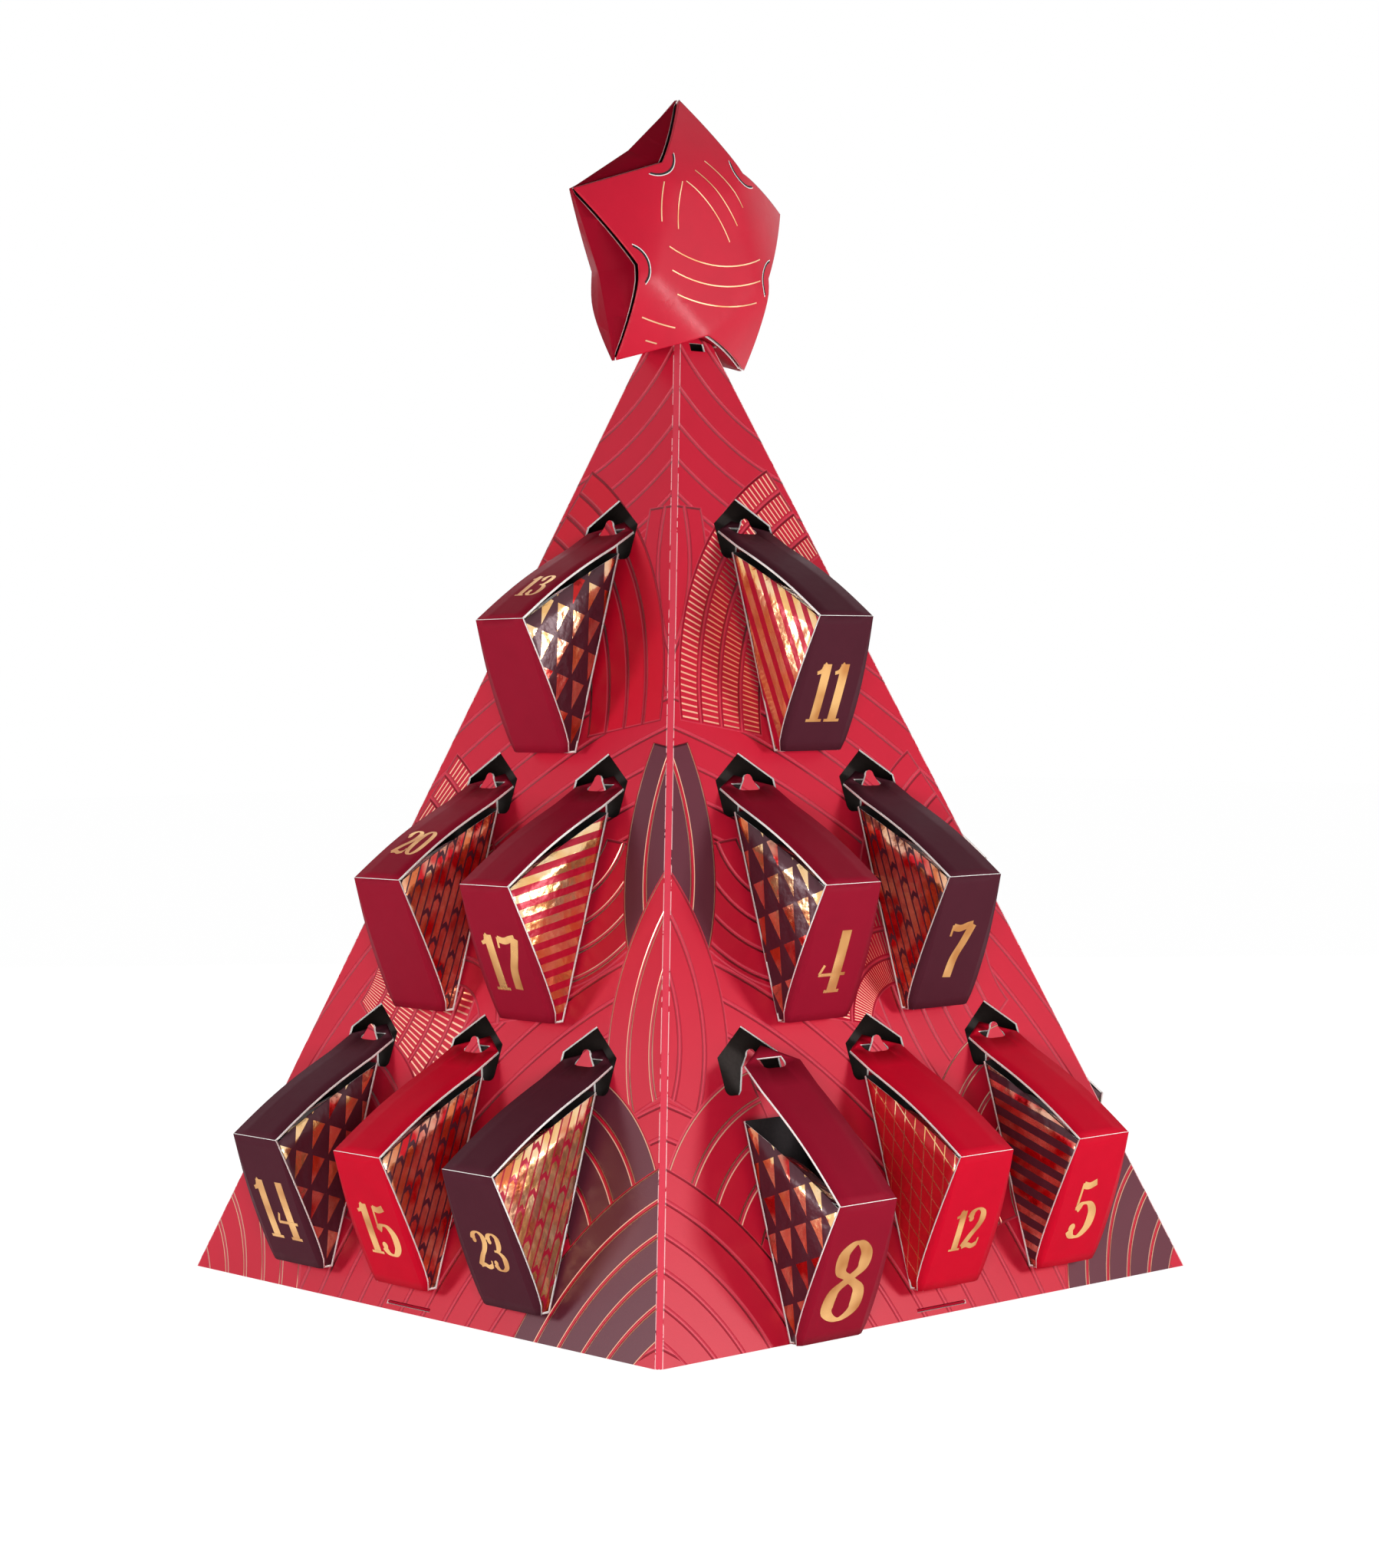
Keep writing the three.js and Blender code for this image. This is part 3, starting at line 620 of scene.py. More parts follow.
FANS = (
    Fan((-200.0, -70.0), 20.0, 660.0, 0.0, 90.0, 14.0),
    Fan((70.0, 470.0), 40.0, 150.0, 190.0, 300.0, 15.0),
    Fan((-150.0, 372.0), 40.0, 128.0, -80.0, -4.0, 13.0),
    Fan((96.0, 236.0), 118.0, 164.0, 116.0, 170.0, 11.5, Print.TICKS, Print.RED),
    Fan((120.0, 150.0), 36.0, 112.0, 118.0, 214.0, 13.0, Print.EMBOSSED, Print.TICKS),
    Fan((-30.0, 214.0), 20.0, 72.0, 186.0, 300.0, 12.0, Print.EMBOSSED, Print.HAIRLINES),
    Fan((-196.0, 232.0), 70.0, 134.0, -44.0, 10.0, 12.8, Print.PLUM, Print.PLUM),
    Fan((24.0, 120.0), 22.0, 74.0, 60.0, 168.0, 12.6, Print.TICKS, Print.EMBOSSED),
    Fan((-190.0, 150.0), 58.0, 110.0, -34.0, 30.0, 13.0, Print.EMBOSSED, Print.HAIRLINES),
    Fan((-52.0, 16.0), 46.0, 100.0, 104.0, 172.0, 13.4, Print.HAIRLINES, Print.PLUM),
    Fan((92.0, 40.0), 20.0, 82.0, 96.0, 190.0, 12.4, Print.HAIRLINES, Print.EMBOSSED),
    Fan((-206.0, -44.0), 74.0, 142.0, 12.0, 66.0, 13.6, Print.EMBOSSED, Print.PLUM),
    Fan((196.0, -30.0), 56.0, 122.0, 104.0, 166.0, 13.0, Print.PLUM, Print.HAIRLINES),
)


@dataclass(frozen=True)
class FaceFinish:
    """The tree's printed and embossed card, with white cut edges, a dark inside and a painted highlight
    along its emboss ridges.
    """
    face: Face
    channel: float = 0.75
    hairline: float = 0.5
    tick_pitch: float = 3.0
    tick_width: float = 0.8
    ridge: tuple[float, float] = (0.6, 1.5)
    ridge_light: float = 0.3
    slope_limits: tuple[float, float] = (0.5, 1.8)
    relief_depth: float = 0.0013
    mottle_size: float = 0.05
    mottle_share: float = 0.5
    worn_limits: tuple[float, float] = (-0.28, 0.34)
    worn_share: float = 0.75
    scuff_size: float = 0.004
    scuff_limit: float = 0.42
    facing_limit: float = 0.35
    gold_metal: float = 0.7
    roughness: tuple[float, float] = (0.40, 0.30)
    specular: float = 0.18
    grain_size: float = 0.0006
    grain_depth: float = 0.00003

    def _print(self, fan: Fan) -> Print:
        """The way that a fan is finished on this face."""
        return fan.odd if self.face.value % 2 else fan.even

    def _polar(self, graph: Graph, place: object, fan: Fan) -> tuple[object, object]:
        """The distance from a fan's centre, and the angle from its middle line."""
        from_centre = graph.vector("SUBTRACT", place, (*fan.centre, 0.0)).outputs[0]
        reach = graph.vector("LENGTH", from_centre).outputs["Value"]
        turned = graph.node("ShaderNodeVectorRotate", rotation_type="Z_AXIS")
        graph.plug(turned.inputs["Vector"], from_centre)
        turned.inputs["Angle"].default_value = -math.radians(fan.start + fan.end) / 2
        x, y, _ = graph.axes(turned.outputs[0])
        return reach, graph.math("ARCTAN2", y, x)

    def _lay(self, graph: Graph, place: object, fan: Fan,
             under: tuple[object, ...]) -> tuple[object, ...]:
        """Lays one fan over what is under it.

        Args:
            graph: The material's graph.
            place: The point on the face, in millimetres.
            fan: The fan to lay.
            under: The colour, the gold mask and the height below it.

        Returns:
            The colour, the gold mask and the height with the fan on top.
        """
        reach, angle = self._polar(graph, place, fan)
        half = math.radians(fan.end - fan.start) / 2
        past_inner = graph.math("SUBTRACT", reach, fan.inner)
        to_outer = graph.math("SUBTRACT", fan.outer, reach)
        off_side = graph.math("SUBTRACT", half, graph.math("ABSOLUTE", angle))
        to_side = graph.math("MULTIPLY", off_side, reach)
        rim = graph.smallest(past_inner, to_outer, to_side)
        inside = graph.math("GREATER_THAN", rim, 0.0)
        across = graph.math("PINGPONG", past_inner, fan.pitch / 2)
        depth = graph.math("MINIMUM", across, rim)
        panel = graph.math("GREATER_THAN", depth, self.channel)
        kind = self._print(fan)
        channel, print_colour = {
            Print.PLUM: (CRIMSON, PRINTED_PLUM),
            Print.RED: (DEEP_CRIMSON, BRIGHT_RED),
        }.get(kind, (CHANNEL_RED, CRIMSON))
        colour = graph.mix(panel, channel, print_colour)
        gold = None
        if kind in (Print.PLUM, Print.HAIRLINES):
            edge = graph.between(across, self.channel, self.channel + self.hairline)
            gold = graph.product(inside, panel, edge)
        if kind is Print.TICKS:
            along = graph.math("MULTIPLY", angle, fan.outer)
            rungs = graph.lines(along, self.tick_pitch, self.tick_width)
            rows = graph.math("GREATER_THAN", depth, self.channel * 2)
            gold = graph.product(inside, rungs, rows)
        if kind not in (Print.PLUM, Print.TICKS):
            # Painted highlight: a lighter pink line along the edge of each raised band stands for light
            # catching the emboss.
            ridge = graph.between(depth, *(self.channel * share for share in self.ridge))
            colour = graph.mix(graph.product(ridge, self.ridge_light), colour, RIDGE_HIGHLIGHT)
        height = graph.ramp(depth, *(self.channel * share for share in self.slope_limits))
        kept = graph.product(under[1], graph.math("SUBTRACT", 1.0, inside))
        gold = kept if gold is None else graph.math("MAXIMUM", kept, gold)
        return graph.mix(inside, under[0], colour), gold, graph.over(inside, under[2], height)

    def material(self) -> bpy.types.Material:
        """Builds the face's material."""
        graph = Graph(f"tree_card_{self.face.name.lower()}")
        flip = -1.0 if self.face.value % 2 else 1.0
        metres = 1 / MM
        turned = graph.mapping(
            graph.coords.outputs["Object"],
            (metres, metres, metres / math.cos(TREE.lean)), -self.face.value * math.pi / 2)
        _, right, slope = graph.axes(turned)
        place = graph.joined(graph.math("MULTIPLY", right, flip), slope)
        layers: tuple[object, ...] = (CRIMSON, 0.0, 1.0)
        for fan in FANS:
            layers = self._lay(graph, place, fan, layers)
        return self._shade(graph, right, slope, *layers)

    def _worn(self, graph: Graph, right: object, slope: object) -> object:
        """How worn the print is: scuffed along the hips' strips, and whole elsewhere."""
        height = graph.math("MULTIPLY", slope, math.cos(TREE.lean))
        below = graph.math("SUBTRACT", TREE.peak, height)
        half = graph.math("MULTIPLY", below, math.tan(TREE.lean))
        strip = TREE.hip_strip / math.sqrt(2)
        from_hip = graph.math("SUBTRACT", half, graph.math("ABSOLUTE", right))
        worn = graph.between(from_hip, *(strip + limit for limit in self.worn_limits))
        scuffs = graph.math("GREATER_THAN", graph.noise(self.scuff_size, MOTTLED), self.scuff_limit)
        return graph.product(worn, scuffs, self.worn_share)

    def _shade(self, graph: Graph, right: object, slope: object, print_colour: object, gold: object,
               relief: object) -> bpy.types.Material:
        """Joins the print, the relief, the worn hips and the cut edges into one shader."""
        mottle = graph.noise(self.mottle_size, MOTTLED)
        darker = graph.node("ShaderNodeMix", data_type="RGBA", blend_type="MULTIPLY")
        graph.plug(darker.inputs["Factor"], graph.product(mottle, self.mottle_share))
        for socket, value in zip(MIX_COLOURS, (print_colour, PRINT_MOTTLE)):
            graph.plug(darker.inputs[socket], value)
        colour = graph.mix(gold, darker.outputs[MIXED_COLOUR], LIGHT_HAIRLINE)
        colour = graph.mix(self._worn(graph, right, slope), colour, WORN_HIP)
        looks = graph.vector("DOT_PRODUCT", graph.coords.outputs["Normal"], tuple(self.face.normal()))
        facing = looks.outputs["Value"]
        printed = graph.math("GREATER_THAN", facing, self.facing_limit)
        inside = graph.math("LESS_THAN", facing, -self.facing_limit)
        colour = graph.mix(printed, CUT_BOARD, colour)
        colour = graph.mix(inside, colour, INSIDE)
        metal = graph.product(gold, printed)
        grain = graph.bump(graph.noise(self.grain_size, PLAIN), self.grain_depth)
        return graph.finish(
            base_color=colour,
            metallic=graph.product(metal, self.gold_metal),
            roughness=graph.blend(metal, *self.roughness),
            specular_ior_level=self.specular,
            normal=graph.bump(graph.product(relief, printed), self.relief_depth, grain),
        )


def new_piece(name: str, build: bmesh.types.BMesh, materials: Iterable[bpy.types.Material],
              smooth: bool = True) -> bpy.types.Object:
    """Makes an object of a finished bmesh in metres, and frees the bmesh.

    Args:
        name: The piece's name.
        build: The mesh, in metres.
        materials: Its materials, in slot order.
        smooth: Whether its faces shade smoothly.

    Returns:
        The new object, linked to the scene.
    """
    mesh = bpy.data.meshes.new(name)
    for face in build.faces:
        face.smooth = smooth
    build.to_mesh(mesh)
    build.free()
    for material in materials:
        mesh.materials.append(material)
    made = bpy.data.objects.new(name, mesh)
    bpy.context.scene.collection.objects.link(made)
    return made


def join_part(build: bmesh.types.BMesh, part: bmesh.types.BMesh) -> None:
    """Adds one mesh to another, and frees the added one."""
    carrier = bpy.data.meshes.new("part")
    part.to_mesh(carrier)
    part.free()
    build.from_mesh(carrier)
    bpy.data.meshes.remove(carrier)


def crease(build: bmesh.types.BMesh, pairs: Iterable[Sequence[bmesh.types.BMVert]]) -> None:
    """Makes the edges between pairs of vertices sharp."""
    for pair in pairs:
        build.edges.get(pair).smooth = False


def thicken(piece: bpy.types.Object, thickness: float, rim_slot: int = 1, inner_slot: int = 2) -> None:
    """Gives a sheet its card thickness on the inside, with its own rim and inner materials."""
    wall = piece.modifiers.new("card", "SOLIDIFY")
    wall.thickness = thickness * MM
    wall.offset = -1.0
    wall.use_even_offset = True
    wall.material_offset_rim = rim_slot
    wall.material_offset = inner_slot


def extrude_chain(build: bmesh.types.BMesh,
                  verts: Sequence[bmesh.types.BMVert]) -> list[bmesh.types.BMVert]:
    """Extrudes the edges along a chain of vertices once, and returns the new chain."""
    edges = [build.edges.get(pair) for pair in zip(verts, verts[1:])]
    made = bmesh.ops.extrude_edge_only(build, edges=edges)["geom"]
    fresh = {part for part in made if isinstance(part, bmesh.types.BMVert)}
    return [
        next(edge.other_vert(vert) for edge in vert.link_edges if edge.other_vert(vert) in fresh)
        for vert in verts
    ]


def extrude_rows(build: bmesh.types.BMesh,
                 rows: Sequence[Sequence[Vector]]) -> list[list[bmesh.types.BMVert]]:
    """Makes a sheet from a chain of vertices that is extruded row by row.

    Args:
        build: The mesh to add to.
        rows: Places of each row's vertices, all rows of one length.

    Returns:
        The vertices, row by row.
    """
    verts = [build.verts.new(place) for place in rows[0]]
    for pair in zip(verts, verts[1:]):
        build.edges.new(pair)
    grid = [verts]
    for row in rows[1:]:
        verts = extrude_chain(build, verts)
        for vert, place in zip(verts, row):
            vert.co = place
        grid.append(verts)
    return grid


def face_towards(build: bmesh.types.BMesh, direction: Vector) -> None:
    """Turns all faces of a sheet over if they look away from a direction on the whole."""
    if sum(face.normal.dot(direction) * face.calc_area() for face in build.faces) < 0:
        bmesh.ops.reverse_faces(build, faces=build.faces[:])


@dataclass(frozen=True)
class BoxShape:
    """Sizes of a gift box in millimetres: (slope, out) points beside its window's tip."""
    width: float = 32.0
    seen_card: float = 1.0
    wall_card: float = 0.3
    loose_number: int = 8
    loose_drop: float = 12.3
    loose_lid_turn: float = math.radians(12)
    panel_steps: int = 14
    column_shares: tuple[float, ...] = (-1.0, -0.5, 0.0, 0.5, 1.0)
    front_top: tuple[float, float] = (-73.5, 47.5)
    front_foot: tuple[float, float] = (-120.8, 7.0)
    back_foot: tuple[float, float] = (-118.5, 0.4)
    back_top: tuple[float, float] = (-28.0, 5.0)
    front_bow: float = 1.0
    wall_inset: float = 0.05
    wall_sink: float = 1.4
    wall_steps: tuple[int, int] = (12, 8)
    wall_arch: float = 1.1
    wall_arch_power: int = 4
    wall_swell: float = 0.35
    wall_dents: float = 0.12
    flap_depth: float = 8.4
    flap_shares: tuple[float, ...] = (0.35, 0.7, 1.0)
    flap_sink: float = 2.0
    flap_least: float = 0.4
    flap_back_power: int = 5
    flap_front_loss: float = 0.25
    flap_front_power: int = 6
    flap_print_margin: float = 0.6
    flap_span: tuple[int, int] = (1, 9)
    flange: float = 4.8
    flange_widest: float = 0.74
    flange_end: float = 0.5
    flange_least: float = 0.05
    flange_sweep: float = math.radians(16)
    lid_back: tuple[float, float] = (-26.0, 9.0)
    lid_bow: float = 1.7
    lid_inset: float = 0.4
    tab_dip: float = math.radians(40)
    tab_length: float = 23.4
    tab_gable: float = 9.7
    hole_low: float = 10.9
    hole_high: float = 16.7
    hole_half: float = 7.0
    hole_corner: float = 3.4
    hole_steps: int = 5
    hinge_gap: float = 0.15
    tab_gap: float = 1e-4
    weld: float = 0.01
    numeral_lift: float = 0.06
    numeral_on_lid: float = 0.42
    numeral_on_front: float = 0.56

    def _run(self, start: tuple[float, float], end: tuple[float, float]) -> tuple[Vector, Vector, float]:
        """Unit direction, outward normal and length of a straight run of the profile."""
        run = Vector(end) - Vector(start)
        length = run.length
        run.normalize()
        return run, Vector((-run.y, run.x)), length

    @property
    def front_length(self) -> float:
        """The front panel's height."""
        return self._run(self.front_top, self.front_foot)[2]

    @property
    def lid_length(self) -> float:
        """The lid's length between its creases."""
        return self._run(self.front_top, self.lid_back)[2]

    def front_point(self, x: float, down: float, lift: float = 0.0) -> Vector:
        """A place on the front panel: x to the right, down from the top crease, lift above the card."""
        run, normal, length = self._run(self.front_top, self.front_foot)
        share = min(max(down / length, 0.0), 1.0)
        bow = self.front_bow * math.sin(math.pi * share)
        place = Vector(self.front_top) + run * down - normal * (bow + lift)
        return Vector((x, place.x, place.y))

    def lid_point(self, x: float, along: float, lift: float = 0.0) -> Vector:
        """A place on the lid or its tab: along from the front crease, lift above the card."""
        run, normal, length = self._run(self.front_top, self.lid_back)
        normal = -normal if normal.y < 0 else normal
        if along <= length:
            bow = self.lid_bow * math.sin(math.pi * along / length)
            place = Vector(self.front_top) + run * along + normal * (bow + lift)
            return Vector((x, place.x, place.y))
        tab_run = Vector((math.cos(self.tab_dip), -math.sin(self.tab_dip)))
        tab_normal = Vector((-tab_run.y, tab_run.x))
        place = Vector(self.lid_back) + tab_run * (along - length) + tab_normal * lift
        return Vector((x, place.x, place.y))

    def flange_reach(self, share: float) -> float:
        """How far a flange stands out at a share of the front panel's height."""
        if share < self.flange_widest:
            return self.flange * math.sin(math.pi / 2 * share / self.flange_widest)
        past = (share - self.flange_widest) / (1 - self.flange_widest)
        return self.flange * (1 - (1 - self.flange_end) * (1 - math.sqrt(max(0.0, 1 - past * past))))


BOX = BoxShape()


@dataclass(frozen=True)
class Glyphs:
    """Numerals drawn with a broad pen: strokes through points, in shares of their height."""
    thick: float = 0.19
    thin: float = 0.048
    ball: float = 0.072
    strokes: dict[str, tuple] = field(default_factory=lambda: {
        "0": (
            ("loop", (.27, .985), (.09, .84), (.05, .5), (.09, .16), (.27, .015), (.45, .16), (.49, .5),
             (.45, .84)),
        ),
        "1": (
            ("pen", (.22, .98), (.22, .5), (.22, .02)),
            ("pen", (.23, .97), (.14, .87), (.03, .83)),
            ("thin", (.05, .02), (.39, .02)),
        ),
        "2": (
            ("ball", (.11, .76)),
            ("pen", (.06, .78), (.13, .93), (.28, .985), (.43, .9), (.47, .73), (.39, .54), (.23, .34),
             (.05, .06)),
            ("heavy", (.05, .07), (.2, .1), (.36, .05), (.5, .1)),
            ("thin", (.5, .08), (.52, .24)),
        ),
        "3": (
            ("ball", (.12, .78)),
            ("pen", (.07, .8), (.14, .94), (.28, .985), (.42, .89), (.43, .7), (.34, .56), (.2, .53)),
            ("pen", (.2, .53), (.37, .5), (.5, .36), (.48, .14), (.34, .025), (.18, .03), (.07, .16)),
            ("ball", (.12, .2)),
        ),
        "4": (
            ("pen", (.37, .98), (.37, .5), (.37, .02)),
            ("thin", (.36, .97), (.03, .3)),
            ("thin", (.02, .29), (.55, .29)),
            ("thin", (.22, .02), (.52, .02)),
        ),
        "5": (
            ("heavy", (.1, .93), (.24, .9), (.4, .95)),
            ("thin", (.1, .96), (.08, .5)),
            ("pen", (.09, .5), (.2, .6), (.36, .58), (.48, .42), (.47, .18), (.33, .025), (.17, .03),
             (.06, .15)),
            ("ball", (.11, .19)),
        ),
        "6": (
            ("ball", (.41, .84)),
            ("pen", (.46, .86), (.38, .97), (.27, .985), (.13, .84), (.06, .5), (.1, .16), (.27, .015),
             (.44, .14), (.47, .33), (.39, .51), (.26, .56), (.13, .48), (.08, .36)),
        ),
        "7": (
            ("heavy", (.06, .92), (.22, .89), (.38, .93), (.5, .95)),
            ("thin", (.06, .95), (.04, .76)),
            ("pen", (.5, .95), (.38, .66), (.25, .36), (.22, .03)),
        ),
        "8": (
            ("loop", (.27, .535), (.11, .65), (.1, .86), (.27, .985), (.43, .86), (.43, .67), (.27, .535),
             (.08, .38), (.06, .14), (.27, .015), (.47, .14), (.46, .38)),
        ),
        "9": (
            ("ball", (.13, .16)),
            ("pen", (.08, .14), (.16, .03), (.27, .015), (.41, .16), (.48, .5), (.44, .84), (.27, .985),
             (.1, .86), (.07, .67), (.15, .49), (.28, .44), (.41, .52), (.46, .64)),
        ),
    })
    steps: int = 7
    heavy_share: float = 0.62
    pen_slope: float = 1.7
    ball_sides: int = 20
    narrow_step: float = 0.40
    wide_step: float = 0.56
    stack_step: float = 0.0006

    def _smooth(self, points: Sequence[Vector], closed: bool) -> list[Vector]:
        """Points along a smooth line through the given ones."""
        count = len(points)
        spans = count if closed else count - 1

        def at(index: int) -> Vector:
            """A point by its place in the line, which wraps round or stops at its ends."""
            return points[index % count] if closed else points[min(max(index, 0), count - 1)]

        line = []
        for span in range(spans):
            a, b, c, d = (at(span + shift) for shift in (-1, 0, 1, 2))
            for step in range(self.steps):
                t = step / self.steps
                line.append(0.5 * ((2 * b) + (c - a) * t + (2 * a - 5 * b + 4 * c - d) * t * t
                                   + (3 * b - a - 3 * c + d) * t * t * t))
        return line if closed else line + [points[-1].copy()]

    def _pen_width(self, style: str, run: Vector) -> float:
        """The stroke's width where it runs in a direction."""
        if style == "thin":
            return self.thin
        if style == "heavy":
            return self.thick * self.heavy_share
        return self.thin + (self.thick - self.thin) * abs(run.y) ** self.pen_slope

    def _stroke(self, build: bmesh.types.BMesh, style: str, points: Sequence[tuple[float, float]],
                lift: float) -> None:
        """Adds one stroke as a ribbon."""
        places = [Vector(point) for point in points]
        if style == "ball":
            matrix = Matrix.Translation((places[0].x, places[0].y, lift))
            bmesh.ops.create_circle(
                build, cap_ends=True, segments=self.ball_sides, radius=self.ball, matrix=matrix)
            return
        closed = style == "loop"
        line = places if len(places) == 2 else self._smooth(places, closed)
        last = len(line) - 1
        rows = []
        for index, place in enumerate(line):
            before = line[index - 1] if index or closed else place
            after = line[(index + 1) % len(line)] if index < last or closed else place
            run = (after - before).normalized()
            side = Vector((-run.y, run.x)) * self._pen_width(style, run) / 2
            rows.append([Vector((*(place + side), lift)), Vector((*(place - side), lift))])
        if closed:
            rows.append([spot.copy() for spot in rows[0]])
        extrude_rows(build, rows)

    def build(self, text: str, height: float, condense: float = 1.0) -> bmesh.types.BMesh:
        """A flat mesh of a number, centred, in millimetres: x right, y up, z the stacking order."""
        mesh = bmesh.new()
        pen_x = 0.0
        for digit in text:
            glyph = bmesh.new()
            for order, (style, *points) in enumerate(self.strokes[digit]):
                self._stroke(glyph, style, points, order * self.stack_step)
            bmesh.ops.translate(glyph, verts=glyph.verts[:], vec=(pen_x, 0.0, 0.0))
            join_part(mesh, glyph)
            pen_x += self.narrow_step if digit == "1" else self.wide_step
        bmesh.ops.translate(mesh, verts=mesh.verts[:], vec=(-pen_x / 2, -0.5, 0.0))
        bmesh.ops.scale(mesh, verts=mesh.verts[:], vec=(height * condense, height, height))
        return mesh


GLYPHS = Glyphs()


@dataclass(frozen=True)
class SweetShape:
    """Sizes of a wrapped sweet in millimetres, and its place in the box."""
    size: tuple[float, float, float] = (21.0, 21.0, 12.0)
    rounding: float = 0.16
    rounding_steps: int = 3
    taper: float = 0.022
    tilt: float = math.radians(8)
    place: tuple[float, float, float] = (0.0, -86.0, 15.0)


SWEET = SweetShape()


@dataclass(frozen=True)
class BoxLook:
    """How one gift box is dressed."""
    sleeve: Sleeve
    wrap: Wrap
    numeral: float = 26.0
    on_lid: bool = False
    condense: float = 1.0


class GiftBox:
    """One gift box: its sleeve, lid, foil walls, numeral and sweet."""

    def __init__(self, number: int, face: Face, spot: tuple[float, float], look: BoxLook,
                 finishes: "Finishes") -> None:
        """Places the box.

        Args:
            number: The day on the box.
            face: The tree's face that it hangs on.
            spot: Its window's tip, right of the face's middle and up its slope, in millimetres.
            look: Its colours, pattern and numeral.
            finishes: The shared materials.
        """
        self.number = number
        self.look = look
        self.finishes = finishes
        loose = number == BOX.loose_number
        drop = BOX.loose_drop if loose else 0.0
        scale = Matrix.Scale(MM, 4)
        shift = Matrix.Translation((spot[0] * MM, (spot[1] - drop) * MM, 0.0))
        self.box_place = face.frame() @ shift @ scale
        hinge = Vector((0.0, *BOX.front_top))
        turn = Matrix.Rotation(BOX.loose_lid_turn if loose else 0.0, 4, "X")
        self.lid_place = self.box_place @ Matrix.Translation(hinge) @ turn @ Matrix.Translation(-hinge)

    @property
    def tag(self) -> str:
        """The box's number with two digits."""
        return f"{self.number:02d}"

    def _place(self, build: bmesh.types.BMesh, on_lid: bool = False) -> None:
        """Moves a mesh from the box's own millimetres to its place on the tree, in metres."""
        matrix = self.lid_place if on_lid else self.box_place
        bmesh.ops.transform(build, matrix=matrix, verts=build.verts[:])

    def _panel_columns(self, half: float) -> list[float]:
        """Even places across a panel."""
        return [half * share for share in BOX.column_shares]

    def _board(self) -> list[bpy.types.Material]:
        """The sleeve's outer, rim and inner materials."""
        return self.finishes.card(self.finishes.sleeves[self.look.sleeve])

    def _front(self, columns: Sequence[float]) -> bmesh.types.BMesh:
        """The bowed front panel with a swept flange along each side."""
        build = bmesh.new()
        rows = []
        for step in range(BOX.panel_steps + 1):
            share = step / BOX.panel_steps
            down = max(share * BOX.front_length, BOX.hinge_gap)
            reach = max(BOX.flange_reach(share), BOX.flange_least)
            side = reach * math.cos(BOX.flange_sweep)
            back = reach * math.sin(BOX.flange_sweep)
            middle = [BOX.front_point(x, down) for x in columns]
            left = BOX.front_point(columns[0] - side, down, -back)
            right = BOX.front_point(columns[-1] + side, down, -back)
            rows.append([left, *middle, right])
        grid = extrude_rows(build, rows)
        for column in (1, -2):
            fold = [row[column] for row in grid]
            crease(build, zip(fold, fold[1:]))
        face_towards(build, Vector((0.0, -0.6, 0.8)))
        return build

    def _under(self, columns: Sequence[float]) -> bmesh.types.BMesh:
        """The bottom and the back, which fold from one sheet."""
        build = bmesh.new()
        profile = (BOX.front_foot, BOX.back_foot, BOX.back_top)
        grid = extrude_rows(build, [[Vector((x, *spot)) for x in columns] for spot in profile])
        crease(build, zip(grid[1], grid[1][1:]))
        face_towards(build, Vector((0.0, 0.0, -1.0)))
        return build

    def sleeve(self) -> bpy.types.Object:
        """The front panel with its folded flanges, the bottom and the back."""
        columns = self._panel_columns(BOX.width / 2)
        build = self._front(columns)
        join_part(build, self._under(columns))
        bmesh.ops.remove_doubles(build, verts=build.verts[:], dist=BOX.weld)
        self._place(build)
        piece = new_piece(f"sleeve_{self.tag}", build, self._board())
        thicken(piece, BOX.seen_card)
        return piece

    def lid(self) -> bpy.types.Object:
        """The bowed lid with its gabled tab and the tab's hole."""
        build = bmesh.new()
        half = BOX.width / 2 - BOX.lid_inset
        columns = self._panel_columns(half)
        steps = BOX.panel_steps
        length = BOX.lid_length - BOX.hinge_gap
        stations = [BOX.hinge_gap + length * step / steps for step in range(steps + 1)]
        grid = extrude_rows(build, [[BOX.lid_point(x, along) for x in columns] for along in stations])
        fold = grid[-1]
        shoulder, tip = BOX.tab_length - BOX.tab_gable, BOX.tab_length
        outline = [(half, shoulder), (0.0, tip), (-half, shoulder)]
        start = BOX.lid_length
        rim = fold + [build.verts.new(BOX.lid_point(x, start + along + BOX.tab_gap)) for x, along in outline]
        edges = [build.edges.get(pair) or build.edges.new(pair) for pair in zip(rim, rim[1:] + rim[:1])]
        hole = [build.verts.new(BOX.lid_point(x, start + along)) for x, along in self._hole_outline()]
        edges += [build.edges.new(pair) for pair in zip(hole, hole[1:] + hole[:1])]
        bmesh.ops.triangle_fill(build, use_beauty=True, edges=edges)
        crease(build, zip(fold, fold[1:]))
        bmesh.ops.recalc_face_normals(build, faces=build.faces[:])
        face_towards(build, Vector((0.0, 0.6, 0.8)))
        self._place(build, on_lid=True)
        piece = new_piece(f"lid_card_{self.tag}", build, self._board())
        thicken(piece, BOX.seen_card)
        return piece

    def _hole_outline(self) -> list[tuple[float, float]]:
        """The tab's hole: flat towards the tip and rounded towards the lid."""
        half, low, high, corner = BOX.hole_half, BOX.hole_low, BOX.hole_high, BOX.hole_corner
        outline = [(-half, high), (half, high)]
        turn = 90.0 / (BOX.hole_steps - 1)
        for start, across in ((0.0, half - corner), (-90.0, corner - half)):
            for step in range(BOX.hole_steps):
                angle = math.radians(start - turn * step)
                along = low + corner + corner * math.sin(angle)
                outline.append((across + corner * math.cos(angle), along))
        return outline

    def _lid_side(self) -> Vector:
        """The direction from a wall's top edge towards the lid."""
        run = (Vector(BOX.back_top) - Vector(BOX.front_top)).normalized()
        return Vector((-run.y, run.x)) if run.x > 0 else Vector((run.y, -run.x))

